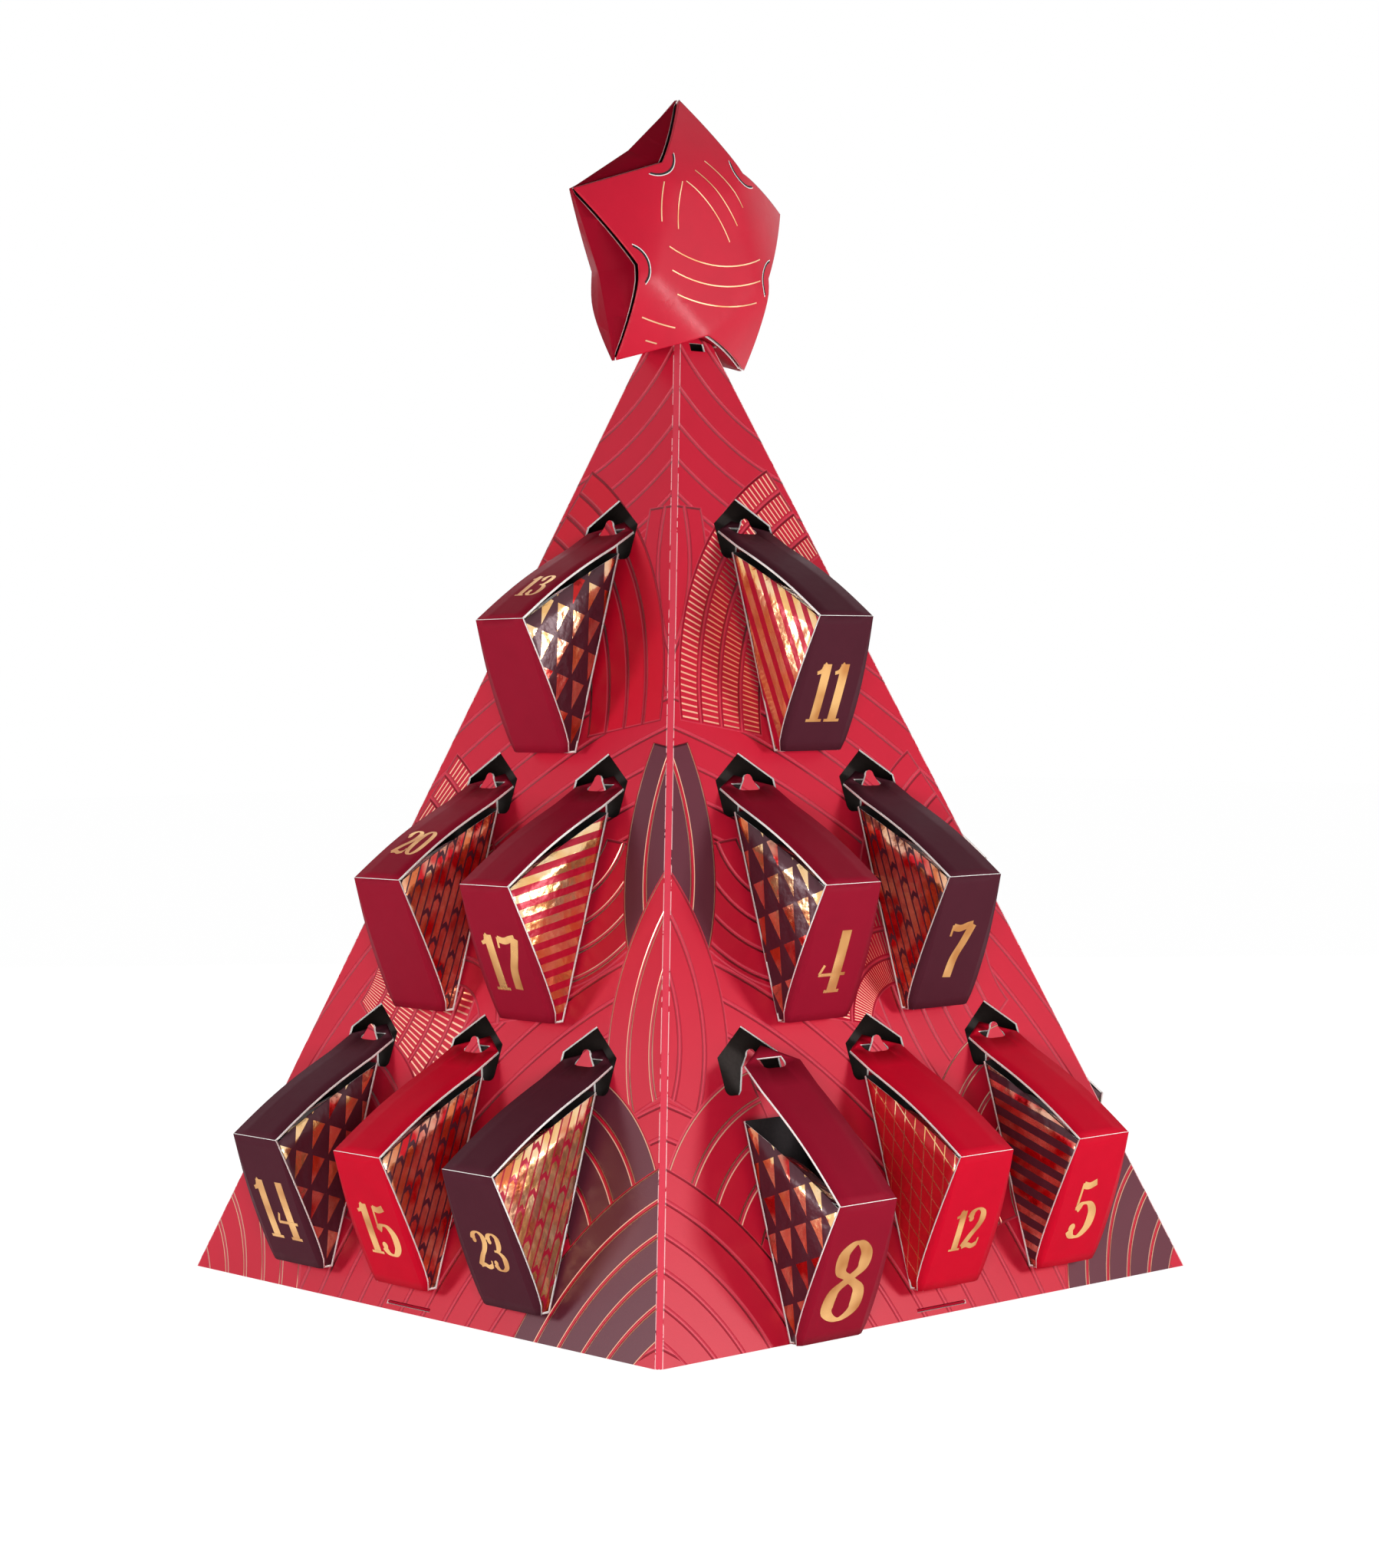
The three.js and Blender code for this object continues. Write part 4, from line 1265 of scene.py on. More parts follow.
    def _wall_row(self, t: float, side: int, rng: random.Random) -> list[Vector]:
        """One row of a foil wall from the bottom up, at a share of the way from front to back."""
        outer = BOX.width / 2 - BOX.wall_inset
        front_low, front_high = Vector(BOX.front_foot), Vector(BOX.front_top)
        front_high = front_high.lerp(front_low, BOX.wall_sink / BOX.front_length)
        low = front_low.lerp(Vector(BOX.back_foot), t)
        high = front_high.lerp(Vector(BOX.back_top), t)
        across = math.sin(math.pi * t)
        row = []
        for step in range(BOX.wall_steps[1] + 1):
            s = step / BOX.wall_steps[1]
            arch = BOX.wall_arch * across * s ** BOX.wall_arch_power
            place = low.lerp(high, s) + self._lid_side() * arch
            swell = BOX.wall_swell * across * math.sin(math.pi * s)
            swell += rng.uniform(-BOX.wall_dents, BOX.wall_dents)
            inner = 0.0 < t < 1.0 and 0.0 < s < 1.0
            row.append(Vector((side * (outer + (swell if inner else 0.0)), place.x, place.y)))
        return row

    def _wall(self, side: int) -> bmesh.types.BMesh:
        """One foil wall with its dust flap; side is 1 for right and -1 for left."""
        build = bmesh.new()
        wrap = build.loops.layers.uv.new("wrap")
        rng = random.Random(self.number * 7 + side)
        count = BOX.wall_steps[0]
        grid = extrude_rows(build, [self._wall_row(step / count, side, rng) for step in range(count + 1)])
        self._flap(build, [row[-1] for row in grid], side)
        face_towards(build, Vector((side, 0.0, 0.3)))
        outer = BOX.width / 2 - BOX.wall_inset
        for face in build.faces:
            for loop in face.loops:
                place = loop.vert.co
                reach = outer - abs(place.x)
                fold = reach if reach > BOX.flap_print_margin else 0.0
                loop[wrap].uv = ((place.z - fold / 2) / UV_UNIT, (place.y + fold) / UV_UNIT)
        return build

    def _flap_reach(self, t: float) -> float:
        """How deep the flap is at a share of its width: rounded off more at its back end."""
        back_end = math.sqrt(max(0.0, 1 - t ** BOX.flap_back_power))
        front_end = 1 - BOX.flap_front_loss * (1 - t) ** BOX.flap_front_power
        return max(BOX.flap_depth * back_end * front_end, BOX.flap_least)

    def _flap(self, build: bmesh.types.BMesh, top: Sequence[bmesh.types.BMVert], side: int) -> None:
        """Folds a rounded flap in from the wall's top edge, below the lid."""
        used = list(top)[slice(*BOX.flap_span)]
        run = (Vector(BOX.back_top) - Vector(BOX.front_top)).normalized()
        down = Vector((0.0, -run.y, run.x))
        down = -down if down.z > 0 else down
        verts = used
        for share in BOX.flap_shares:
            verts = extrude_chain(build, verts)
            sink = down * BOX.flap_sink * math.sin(share * math.pi / 2)
            for index, (vert, start) in enumerate(zip(verts, used)):
                reach = self._flap_reach(index / (len(verts) - 1)) * share
                vert.co = start.co + Vector((-side * reach, 0.0, 0.0)) + sink

    def walls(self) -> bpy.types.Object:
        """Both foil walls."""
        build = bmesh.new()
        for side in (-1, 1):
            join_part(build, self._wall(side))
        self._place(build)
        foil = self.finishes.wraps[self.look.wrap]
        piece = new_piece(f"foil_walls_{self.tag}", build, self.finishes.card(foil))
        thicken(piece, BOX.wall_card)
        return piece

    def numeral(self) -> bpy.types.Object:
        """The box's number in stamped foil, on the front panel or on the lid."""
        build = GLYPHS.build(str(self.number), self.look.numeral, self.look.condense)
        surface, way = BOX.front_point, -1
        middle = BOX.front_length * BOX.numeral_on_front
        if self.look.on_lid:
            surface, way = BOX.lid_point, 1
            middle = BOX.lid_length * BOX.numeral_on_lid
        for vert in build.verts:
            vert.co = surface(vert.co.x, middle + way * vert.co.y, BOX.numeral_lift + vert.co.z)
        bmesh.ops.recalc_face_normals(build, faces=build.faces[:])
        self._place(build, on_lid=self.look.on_lid)
        return new_piece(f"numeral_{self.tag}", build, [self.finishes.stamp], smooth=False)

    def sweet(self) -> bpy.types.Object:
        """The wrapped sweet that lies in the box."""
        build = bmesh.new()
        bmesh.ops.create_cube(build, size=1.0)
        bmesh.ops.bevel(build, geom=build.edges[:], offset=SWEET.rounding,
                        segments=SWEET.rounding_steps, profile=0.5,
                        affect="EDGES", material=-1)
        bmesh.ops.scale(build, verts=build.verts[:], vec=SWEET.size)
        for vert in build.verts:
            narrowing = 1 - max(vert.co.z, 0.0) * SWEET.taper
            vert.co.x *= narrowing
            vert.co.y *= narrowing
        place = Matrix.Translation(SWEET.place) @ Matrix.Rotation(SWEET.tilt, 4, "X")
        bmesh.ops.transform(build, matrix=place, verts=build.verts[:])
        self._place(build)
        return new_piece(f"sweet_{self.tag}", build, [self.finishes.sweet_foil])

    def build(self) -> list[bpy.types.Object]:
        """Makes every piece of the box, attaches each to the body it rides on, and hides the imported carton
        and lid.
        """
        sleeve, lid, walls = self.sleeve(), self.lid(), self.walls()
        numeral, sweet = self.numeral(), self.sweet()
        body, lid_body = f"box_{self.tag}", f"boxlid_{self.tag}"
        for piece in (sleeve, walls, sweet):
            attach(piece, body)
        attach(lid, lid_body)
        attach(numeral, lid_body if self.look.on_lid else body)
        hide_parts(f"carton_{self.tag}")
        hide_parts(f"lid_{self.tag}")
        return [sleeve, lid, walls, numeral, sweet]


@dataclass(frozen=True)
class ArcFamily:
    """Nested arcs on the star: their centre across and up, radii, and span in degrees."""
    centre: tuple[float, float]
    radii: tuple[float, ...]
    span: tuple[float, float]


@dataclass(frozen=True)
class StarShape:
    """The puffed star on the tip, in millimetres: it looks along +X."""
    centre_height: float = 462.0
    tip_radius: float = 66.0
    corner_radius: float = 41.5
    side_card: float = 1.2
    waist_radius: float = 50.0
    tip_depth: float = 1.6
    centre_depth: float = 20.0
    front_flat: float = 23.0
    back_flat: float = 5.0
    low_flat: float = 32.0
    fall_curve: float = 1.5
    fall_blend: float = 3.0
    edge_steps: int = 12
    rings: int = 16
    rim: float = 2.0
    rim_folds: tuple[tuple[float, float], ...] = ((0.3, 0.997), (0.65, 0.985), (1.0, 0.965))
    rim_margin: float = 0.8
    side_gap: float = 3.0
    side_least: float = 0.3
    hub_share: float = 0.012
    ring_spread: float = 1.5
    low_tips: tuple[int, int] = (2, 3)
    tree_corner: int = 5
    sheet_card: float = 0.48
    seat_gap: float = 0.4
    weld: float = 0.004
    cut_margin: float = 1e-4
    ribbon_steps: int = 6
    ribbon_turn: float = 3.0
    arcs: tuple[ArcFamily, ...] = (
        ArcFamily((-38.0, -26.0), (58.0, 66.0, 74.0), (28.0, 64.0)),
        ArcFamily((6.0, 62.0), (72.0, 81.0, 90.0), (246.0, 292.0)),
        ArcFamily((34.0, 8.0), (52.0, 61.0), (160.0, 184.0)),
        ArcFamily((-4.0, 58.0), (98.0, 106.0), (252.0, 262.0)),
    )
    arc_shifts: tuple[float, float] = (4.0, -3.0)
    arc_line: tuple[float, float] = (0.55, 0.12)
    tuck_corners: tuple[int, ...] = (0, 1, 3, 4)
    tuck_out: float = 6.0
    slit_radius: float = 10.6
    slit_half: float = 52.0
    slit_line: tuple[float, float] = (0.9, 0.1)
    lip_radius: float = 11.2
    lip_half: float = 55.0
    lip_line: tuple[float, float] = (0.4, 0.16)

    def _corner(self, tenths: int, corner_radius: float) -> Vector:
        """A tip or an inner corner of the outline; the corner over the tree stays in place."""
        turn = tenths * math.pi / 5
        radius = self.tip_radius
        if tenths % 2:
            radius = self.corner_radius if tenths == self.tree_corner else corner_radius
        return Vector((math.sin(turn), math.cos(turn))) * radius

    def outline(self, corner_radius: float) -> list[Vector]:
        """The outline's points across and up, from the top tip round.

        Args:
            corner_radius: How far out the inner corners lie.

        Returns:
            The points, without the first one again at the end.
        """
        points = []
        for edge in range(10):
            start, end = self._corner(edge, corner_radius), self._corner(edge + 1, corner_radius)
            points += [start.lerp(end, step / self.edge_steps) for step in range(self.edge_steps)]
        return points

    def height(self, place: Vector, side: int) -> float:
        """How far a sheet stands out at a place: fullest in the middle, falling off to each tip."""
        total = 0.0
        for tip in range(5):
            flat = self.front_flat if side > 0 else self.back_flat
            if tip in self.low_tips:
                flat = self.low_flat
            along = place.dot(self._corner(2 * tip, 0.0)) / self.tip_radius
            past = max(along - flat, 0.0) / (self.tip_radius - flat)
            total += past ** (self.fall_curve * self.fall_blend)
        fall = min(total ** (1 / self.fall_blend), 1.0)
        return side * (self.centre_depth + (self.tip_depth - self.centre_depth) * fall)

    def _ring(self, share: float, side: int) -> list[Vector]:
        """A ring of the puffed sheet at a share of the outline."""
        places = [point * share for point in self.outline(self.corner_radius)]
        return [Vector((self.height(place, side), place.x, place.y)) for place in places]

    def _rim_rows(self, edge: Sequence[Vector]) -> list[list[Vector]]:
        """The rows of the front sheet's rim, which folds back and a little inwards."""
        rows = []
        for share, shrink in self.rim_folds:
            backs = [min(self.rim, spot.x + self.rim_margin) * share for spot in edge]
            rows.append([
                Vector((spot.x - back, spot.y * shrink, spot.z * shrink))
                for spot, back in zip(edge, backs)
            ])
        return rows

    def sheet(self, side: int) -> bmesh.types.BMesh:
        """The puffed sheet with its folded rim; side is 1 for the front and -1 for the back."""
        build = bmesh.new()
        spread = self.ring_spread
        shares = [1 - (1 - ring / self.rings) ** spread for ring in range(1, self.rings + 1)]
        rows = [self._ring(share, side) for share in (self.hub_share, *shares)]
        if side > 0:
            rows += self._rim_rows(rows[-1])
        for row in rows:
            row.append(row[0].copy())
        extrude_rows(build, rows)
        bmesh.ops.remove_doubles(build, verts=build.verts[:], dist=self.weld)
        reach = self.centre_depth + 2
        rims = [edge for edge in build.edges if edge.is_boundary]
        hub = [edge for edge in rims if edge.verts[0].co.length < reach]
        bmesh.ops.holes_fill(build, edges=hub, sides=0)
        bmesh.ops.recalc_face_normals(build, faces=build.faces[:])
        face_towards(build, Vector((side, 0.0, 0.0)))
        return build

    def gussets(self) -> bmesh.types.BMesh:
        """The side walls, which stand out at the waist and stop short of the front sheet."""
        build = bmesh.new()
        sides = self.outline(self.corner_radius)
        waist = [Vector((0.0, place.x, place.y)) for place in self.outline(self.waist_radius)]
        reach = [max(self.height(place, 1) - self.side_gap, self.side_least) for place in sides]
        front = [Vector((depth, place.x, place.y)) for depth, place in zip(reach, sides)]
        back = [Vector((self.height(place, -1), place.x, place.y)) for place in sides]
        rows = [row + [row[0].copy()] for row in (front, waist, back)]
        grid = extrude_rows(build, rows)
        crease(build, zip(grid[1], grid[1][1:]))
        for upper, lower in zip(grid, grid[1:]):
            corners = range(0, len(upper), self.edge_steps)
            crease(build, ((upper[index], lower[index]) for index in corners))
        bmesh.ops.remove_doubles(build, verts=build.verts[:], dist=self.weld)
        outwards = [face.normal.dot(face.calc_center_median()) for face in build.faces]
        if sum(outwards) < 0:
            bmesh.ops.reverse_faces(build, faces=build.faces[:])
        return build

    def seat(self, build: bmesh.types.BMesh) -> None:
        """Cuts away what would run into the tree's tip."""
        gap, centre = self.seat_gap, UP * self.centre_height
        planes = [
            (face.outward() * TREE.foot / 2 + face.normal() * gap - centre, face.normal())
            for face in Face
        ]
        planes.append((UP * (TREE.top_cut + gap) - centre, UP))
        for place, normal in planes:
            parts = build.verts[:] + build.edges[:] + build.faces[:]
            bmesh.ops.bisect_plane(
                build, geom=parts, plane_co=place, plane_no=normal, dist=self.cut_margin)
        inside = [
            face for face in build.faces
            if all((face.calc_center_median() - place).dot(normal) < 0 for place, normal in planes)
        ]
        bmesh.ops.delete(build, geom=inside, context="FACES")

    def place(self, build: bmesh.types.BMesh) -> None:
        """Moves a mesh from the star's own millimetres to its place on the tip, in metres."""
        matrix = Matrix.Translation((0.0, 0.0, self.centre_height * MM)) @ Matrix.Scale(MM, 4)
        bmesh.ops.transform(build, matrix=matrix, verts=build.verts[:])

    def front_point(self, y: float, z: float, lift: float) -> Vector:
        """A place on the front sheet, in the star's own millimetres."""
        return Vector((self.height(Vector((y, z)), 1) + lift, y, z))


class Star:
    """The star's pieces."""

    def __init__(self, finishes: "Finishes") -> None:
        """Keeps the shared materials."""
        self.shape = StarShape()
        self.finishes = finishes

    def _sheet(self, name: str, side: int) -> bpy.types.Object:
        """One puffed sheet as a piece."""
        build = self.shape.sheet(side)
        self.shape.seat(build)
        self.shape.place(build)
        piece = new_piece(name, build, self.finishes.card(self.finishes.star_card))
        thicken(piece, self.shape.sheet_card)
        return piece

    def _ribbon(self, build: bmesh.types.BMesh, centre: Vector, radius: float,
                span: tuple[float, float], line: tuple[float, float]) -> None:
        """Adds a thin arc that lies on the front sheet.

        Args:
            build: The mesh to add to.
            centre: The arc's centre, across and up.
            radius: Its radius.
            span: Where it starts and ends, in degrees.
            line: Its width, and its height above the sheet.
        """
        width, lift = line
        turn = abs(span[1] - span[0])
        steps = max(self.shape.ribbon_steps, round(turn / self.shape.ribbon_turn))
        rows = []
        for step in range(steps + 1):
            angle = math.radians(span[0] + (span[1] - span[0]) * step / steps)
            direction = Vector((math.cos(angle), math.sin(angle)))
            sides = [centre + direction * (radius + half) for half in (-width / 2, width / 2)]
            rows.append([self.shape.front_point(side.x, side.y, lift) for side in sides])
        extrude_rows(build, rows)

    def _flat_piece(self, name: str, build: bmesh.types.BMesh,
                    material: bpy.types.Material) -> bpy.types.Object:
        """Turns a mesh that lies on the front sheet into a piece that faces forwards."""
        bmesh.ops.recalc_face_normals(build, faces=build.faces[:])
        face_towards(build, Vector((1.0, 0.0, 0.0)))
        self.shape.place(build)
        return new_piece(name, build, [material])

    def _arcs(self) -> bpy.types.Object:
        """Thin stamped arcs in nested families over the front sheet."""
        build = bmesh.new()
        for family in self.shape.arcs:
            for order, radius in enumerate(family.radii):
                ends = zip(family.span, self.shape.arc_shifts)
                span = tuple(end + order * shift for end, shift in ends)
                self._ribbon(build, Vector(family.centre), radius, span, self.shape.arc_line)
        return self._flat_piece("star_arcs", build, self.finishes.hairline)

    def _tucks(self) -> list[bpy.types.Object]:
        """The crescent cut beside each upper inner corner, where a side wall's tab is tucked in: a dark
        strip of painted shadow in the cut, with a white cut edge beside it.
        """
        shape, slit, lip = self.shape, bmesh.new(), bmesh.new()
        for corner in shape.tuck_corners:
            turn = (2 * corner + 1) * math.pi / 5
            outward = Vector((math.sin(turn), math.cos(turn)))
            middle = outward * (shape.corner_radius + shape.tuck_out)
            facing = math.degrees(math.atan2(-outward.y, -outward.x))
            slit_span = (facing - shape.slit_half, facing + shape.slit_half)
            lip_span = (facing - shape.lip_half, facing + shape.lip_half)
            self._ribbon(slit, middle, shape.slit_radius, slit_span, shape.slit_line)
            self._ribbon(lip, middle, shape.lip_radius, lip_span, shape.lip_line)
        return [self._flat_piece("star_tuck_slit_shadows", slit, self.finishes.dark),
                self._flat_piece("star_tuck_edges", lip, self.finishes.cut_edge)]

    def build(self) -> list[bpy.types.Object]:
        """Makes every piece of the star."""
        front, back = self._sheet("star_front_card", 1), self._sheet("star_back_card", -1)
        walls = self.shape.gussets()
        self.shape.seat(walls)
        self.shape.place(walls)
        gussets = new_piece("star_side_walls", walls, self.finishes.card(self.finishes.star_side))
        thicken(gussets, self.shape.side_card)
        marks = [self._arcs(), *self._tucks()]
        for piece in (front, back, gussets, *marks):
            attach(piece, "star")
        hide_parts("star_front")
        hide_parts("star_back")
        return [front, back, gussets, *marks]


@dataclass
class Finishes:
    """The materials that pieces share."""
    cut_edge: bpy.types.Material = field(init=False)
    dark: bpy.types.Material = field(init=False)
    stamp: bpy.types.Material = field(init=False)
    hairline: bpy.types.Material = field(init=False)
    sweet_foil: bpy.types.Material = field(init=False)
    star_card: bpy.types.Material = field(init=False)
    star_side: bpy.types.Material = field(init=False)
    sleeves: dict[Sleeve, bpy.types.Material] = field(init=False)
    wraps: dict[Wrap, bpy.types.Material] = field(init=False)

    def __post_init__(self) -> None:
        """Builds every shared material once."""
        self.cut_edge = BoardFinish("white_cut_edge", CUT_BOARD).material()
        # Dark inner side of the card; the same material is the painted shadow in the star's tuck slits.
        self.dark = BoardFinish("dark_inside_and_slit_shade", NEAR_BLACK).material()
        self.stamp = FoilStampFinish("gold_stamp").material()
        self.hairline = FoilStampFinish("gold_hairline", FINE_GOLD, 0.3).material()
        self.sweet_foil = FoilStampFinish("sweet_foil", GOLD, 0.2).material()
        self.star_card = CardFinish("star_card", STAR_RED, roughness=0.36, specular=0.24).material()
        # Painted shade: the side walls take a darker copy of the star's red, standing for the shade they lie
        # in.
        self.star_side = CardFinish("shaded_star_side_card", SHADED_STAR_SIDE_RED).material()
        self.sleeves = {kind: CardFinish(kind.value, kind.colour).material() for kind in Sleeve}
        self.wraps = {wrap: WrapFinish(f"foil_{wrap.name.lower()}", wrap).material() for wrap in Wrap}

    def card(self, outer: bpy.types.Material) -> list[bpy.types.Material]:
        """The outer, rim and inner materials of a sheet with a finish on its outside."""
        return [outer, self.cut_edge, self.dark]


@dataclass(frozen=True)
class Tree:
    """The tree's own looks: its printed faces, hips and base. Sizes are in millimetres."""
    liner_low: float = 7.0
    liner_high: float = 392.0
    liner_behind: float = 12.0
    liner_card: float = 0.6
    strip_foot: float = 0.2
    strip_proud: float = 0.05
    strip_ridge: float = 0.06
    strip_narrowing: float = 0.12

    def dress(self, nodes: dict[str, bpy.types.Object]) -> None:
        """Gives the faces and the base their materials."""
        for face in Face:
            self._repaint(nodes[face.node], FaceFinish(face).material())
        self._repaint(nodes["base_panel"], CardFinish("base_card", DEEP_CRIMSON, 0.5).material())

    def _repaint(self, node: bpy.types.Object, material: bpy.types.Material) -> None:
        """Puts one material in all of a node's slots."""
        for slot in node.material_slots:
            slot.material = material

    def liner(self) -> bpy.types.Object:
        """A dark sheet inside the tree, a little behind its faces: painted shade that darkens the hollow
        seen through the windows.
        """
        low, high, behind = self.liner_low, self.liner_high, self.liner_behind
        radii = [
            ((TREE.peak - height) * math.tan(TREE.lean) - behind / math.cos(TREE.lean)) * math.sqrt(2)
            for height in (low, high)
        ]
        build = bmesh.new()
        place = Matrix.Translation((0.0, 0.0, (low + high) / 2)) @ Matrix.Rotation(math.pi / 4, 4, "Z")
        bmesh.ops.create_cone(build, cap_ends=False, segments=4, radius1=radii[0], radius2=radii[1],
                              depth=high - low, matrix=place)
        bmesh.ops.scale(build, verts=build.verts[:], vec=(MM, MM, MM))
        board = BoardFinish("hollow_shade_board", HOLLOW_SHADE_BROWN).material()
        piece = new_piece("hollow_shade_sheet", build, [board], smooth=False)
        thicken(piece, self.liner_card, 0, 0)
        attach(piece, "tree")
        return piece

    def hips(self) -> list[bpy.types.Object]:
        """A strip of the same card along each hip, over the seam."""
        material = CardFinish("hip_card", HIP_RED, roughness=0.38, specular=0.5).material()
        strips = []
        for face in Face:
            build = bmesh.new()
            out = face.outward()
            right = UP.cross(out)
            corner = (out + right).normalized()
            along = (out - right).normalized() * (TREE.hip_strip / 2 - self.strip_narrowing)
            rows = []
            for height in (self.strip_foot, TREE.top_cut / 2, TREE.top_cut):
                half = (TREE.peak - height) * math.tan(TREE.lean)
                flat = half * math.sqrt(2) - TREE.hip_strip / 2 + self.strip_proud
                base = corner * flat + UP * height
                rows.append([base - along, base + corner * self.strip_ridge, base + along])
            extrude_rows(build, rows)
            face_towards(build, corner)
            bmesh.ops.scale(build, verts=build.verts[:], vec=(MM, MM, MM))
            piece = new_piece(f"hip_{face.name.lower()}", build, [material])
            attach(piece, "tree")
            strips.append(piece)
        return strips


FACE_NUMBERS = {
    Face.RIGHT: (11, 4, 7, 8, 12, 5),
    Face.BACK_RIGHT: (22, 1, 16, 9, 24, 3),
    Face.BACK_LEFT: (6, 19, 10, 2, 21, 18),
    Face.LEFT: (13, 20, 17, 14, 15, 23),
}

LOOKS = {
    11: BoxLook(Sleeve.PLUM, Wrap.UPRIGHT_STRIPES, 27.0),
    4: BoxLook(Sleeve.BURGUNDY, Wrap.TRIANGLES, 29.0),
    7: BoxLook(Sleeve.PLUM, Wrap.CHEVRON_BARS, 27.0),
    8: BoxLook(Sleeve.BURGUNDY, Wrap.TRIANGLES, 36.0),
    12: BoxLook(Sleeve.BRIGHT, Wrap.LATTICE, 19.0),
    5: BoxLook(Sleeve.BRIGHT, Wrap.DIAGONALS, 28.0),
    13: BoxLook(Sleeve.BURGUNDY, Wrap.TRIANGLES, 16.0, on_lid=True),
    20: BoxLook(Sleeve.BURGUNDY, Wrap.CHEVRON_BARS, 17.0, on_lid=True),
    17: BoxLook(Sleeve.BURGUNDY, Wrap.STRIPES, 26.0),
    14: BoxLook(Sleeve.PLUM, Wrap.TRIANGLES, 29.0, condense=0.9),
    15: BoxLook(Sleeve.BRIGHT, Wrap.CHEVRON_BARS, 24.0),
    23: BoxLook(Sleeve.PLUM, Wrap.GOLD_CHEVRONS, 17.0),
    22: BoxLook(Sleeve.BRIGHT, Wrap.STRIPES, 19.0),
    1: BoxLook(Sleeve.PLUM, Wrap.LATTICE, 28.0),
    16: BoxLook(Sleeve.BURGUNDY, Wrap.GOLD_CHEVRONS, 22.0),
    9: BoxLook(Sleeve.PLUM, Wrap.TRIANGLES, 30.0),
    24: BoxLook(Sleeve.BRIGHT, Wrap.CHEVRON_BARS, 19.0),
    3: BoxLook(Sleeve.BURGUNDY, Wrap.DIAGONALS, 27.0),
    6: BoxLook(Sleeve.BURGUNDY, Wrap.LATTICE, 28.0),
    19: BoxLook(Sleeve.PLUM, Wrap.STRIPES, 24.0),
    10: BoxLook(Sleeve.BRIGHT, Wrap.TRIANGLES, 22.0),
    2: BoxLook(Sleeve.BURGUNDY, Wrap.CHEVRON_BARS, 30.0),
    21: BoxLook(Sleeve.PLUM, Wrap.DIAGONALS, 20.0),
    18: BoxLook(Sleeve.BRIGHT, Wrap.GOLD_CHEVRONS, 22.0),
}


@dataclass(frozen=True)
class Softbox:
    """A soft square lamp: its direction in degrees, and its place, size and power."""
    name: str
    azimuth: float
    height: float
    reach: float
    size: float
    power: float


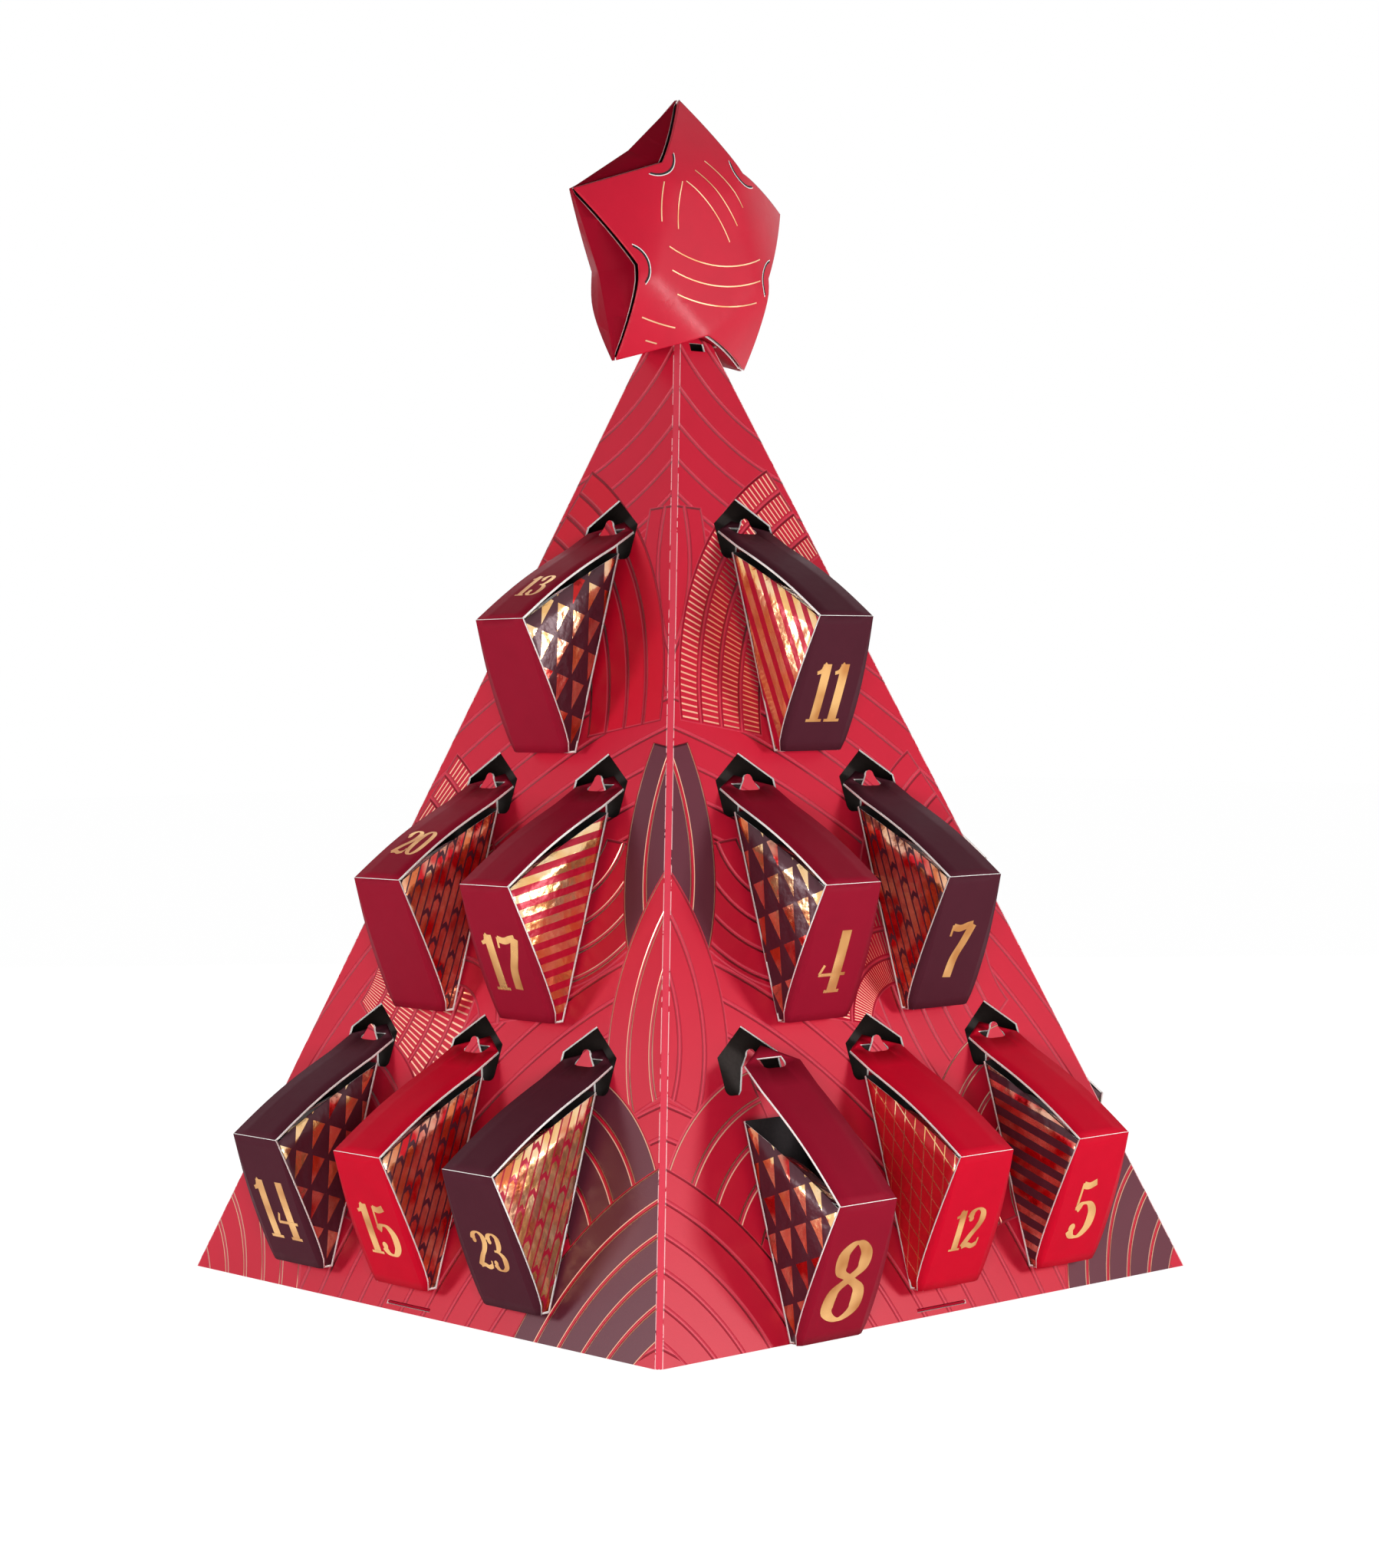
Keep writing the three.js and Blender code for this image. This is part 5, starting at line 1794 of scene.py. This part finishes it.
@dataclass(frozen=True)
class Studio:
    """The camera, the lamps and the pale floor."""
    eye: tuple[float, float, float] = (1.0789, -0.9766, 0.2623)
    yaw: float = 137.728
    pitch: float = -1.688
    roll: float = -0.495
    focal_pixels: float = 4181.2
    image_width: float = 1798.0
    sensor: float = 36.0
    softboxes: tuple[Softbox, ...] = (
        Softbox("left_softbox", -118.0, 0.30, 1.15, 0.22, 5.2),
        Softbox("right_softbox", 29.0, 0.30, 1.15, 0.22, 6.4),
        Softbox("front_softbox", -42.0, 0.08, 1.0, 0.3, 6.0),
        Softbox("back_softbox", 138.0, 0.5, 1.5, 0.9, 10.0),
    )
    aim: tuple[float, float, float] = (0.0, 0.0, 0.08)
    room_light: float = 0.19
    floor_half: float = 6.0
    floor_glow: float = 1.18
    floor_glow_share: float = 0.8

    def camera(self) -> None:
        """Adds the camera at the photograph's viewpoint."""
        data = bpy.data.cameras.new("view")
        data.sensor_width = self.sensor
        data.sensor_fit = "HORIZONTAL"
        data.lens = self.focal_pixels / self.image_width * self.sensor
        eye = bpy.data.objects.new("view", data)
        yaw, pitch, roll = (math.radians(value) for value in (self.yaw, self.pitch, self.roll))
        flat = math.cos(pitch)
        ahead = Vector((flat * math.cos(yaw), flat * math.sin(yaw), math.sin(pitch)))
        level = ahead.cross(UP).normalized()
        up = level.cross(ahead)
        right = level * math.cos(roll) + up * math.sin(roll)
        over = up * math.cos(roll) - level * math.sin(roll)
        matrix = Matrix((right, over, -ahead)).transposed().to_4x4()
        matrix.translation = Vector(self.eye)
        eye.matrix_world = matrix
        bpy.context.scene.collection.objects.link(eye)
        bpy.context.scene.camera = eye

    def lamp(self, box: Softbox) -> None:
        """Adds a soft square lamp that looks at the lower middle of the tree."""
        data = bpy.data.lights.new(box.name, "AREA")
        data.shape = "SQUARE"
        data.size = box.size
        data.energy = box.power
        lamp = bpy.data.objects.new(box.name, data)
        turn = math.radians(box.azimuth)
        place = Vector((box.reach * math.cos(turn), box.reach * math.sin(turn), box.height))
        lamp.location = place
        lamp.rotation_euler = (Vector(self.aim) - place).to_track_quat("-Z", "Y").to_euler()
        bpy.context.scene.collection.objects.link(lamp)

    def world(self) -> None:
        """A plain world: soft light on the object, white where the camera or a gloss looks."""
        world = bpy.data.worlds.new("studio")
        world.use_nodes = True
        tree = world.node_tree
        background = next(n for n in tree.nodes if n.type == "BACKGROUND")
        path = tree.nodes.new("ShaderNodeLightPath")
        glossy = tree.nodes.new("ShaderNodeMath")
        glossy.operation = "MAXIMUM"
        seen = tree.nodes.new("ShaderNodeMath")
        seen.operation = "MAXIMUM"
        strength = tree.nodes.new("ShaderNodeMapRange")
        strength.inputs["To Min"].default_value = self.room_light
        strength.inputs["To Max"].default_value = 1.0
        tree.links.new(path.outputs["Is Glossy Ray"], glossy.inputs[0])
        tree.links.new(path.outputs["Is Transmission Ray"], glossy.inputs[1])
        tree.links.new(path.outputs["Is Camera Ray"], seen.inputs[0])
        tree.links.new(glossy.outputs[0], seen.inputs[1])
        tree.links.new(seen.outputs[0], strength.inputs["Value"])
        tree.links.new(strength.outputs[0], background.inputs["Strength"])
        background.inputs["Color"].default_value = (1.0, 1.0, 1.0, 1.0)
        bpy.context.scene.world = world

    def floor(self) -> None:
        """Adds the pale floor under the tree."""
        build = bmesh.new()
        bmesh.ops.create_grid(build, x_segments=2, y_segments=2, size=self.floor_half)
        graph = Graph("pale_floor")
        material = graph.finish(base_color=FLOOR_WHITE, roughness=0.9)
        emission = graph.node("ShaderNodeEmission")
        path = graph.node("ShaderNodeLightPath")
        blend = graph.node("ShaderNodeMixShader")
        output = next(n for n in graph.tree.nodes if n.type == "OUTPUT_MATERIAL")
        kinds = ("Camera", "Glossy", "Transmission")
        seen = graph.largest(*(path.outputs[f"Is {kind} Ray"] for kind in kinds))
        share = graph.math("MULTIPLY", seen, self.floor_glow_share)
        emission.inputs["Strength"].default_value = self.floor_glow
        for socket, value in zip(blend.inputs, (share, graph.shader.outputs[0], emission.outputs[0])):
            graph.plug(socket, value)
        graph.plug(output.inputs["Surface"], blend.outputs[0])
        new_piece("floor", build, [material])

    def build(self) -> None:
        """Sets up the whole studio."""
        self.camera()
        self.world()
        self.floor()
        for box in self.softboxes:
            self.lamp(box)
        bpy.context.scene.view_settings.view_transform = "Standard"


def main() -> None:
    """Builds the whole scene in order."""
    logging.basicConfig(level=logging.INFO, format="%(message)s")
    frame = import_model()
    Studio().build()
    finishes = Finishes()
    tree = Tree()
    tree.dress(frame["nodes"])
    tree.hips()
    tree.liner()
    LOG.info("tree dressed")
    for face, numbers in FACE_NUMBERS.items():
        for number, spot in zip(numbers, TREE.spots()):
            GiftBox(number, face, spot, LOOKS[number], finishes).build()
        LOG.info("boxes on face %s built", face.name.lower())
    Star(finishes).build()
    LOG.info("star built")


if __name__ == "__main__":
    main()
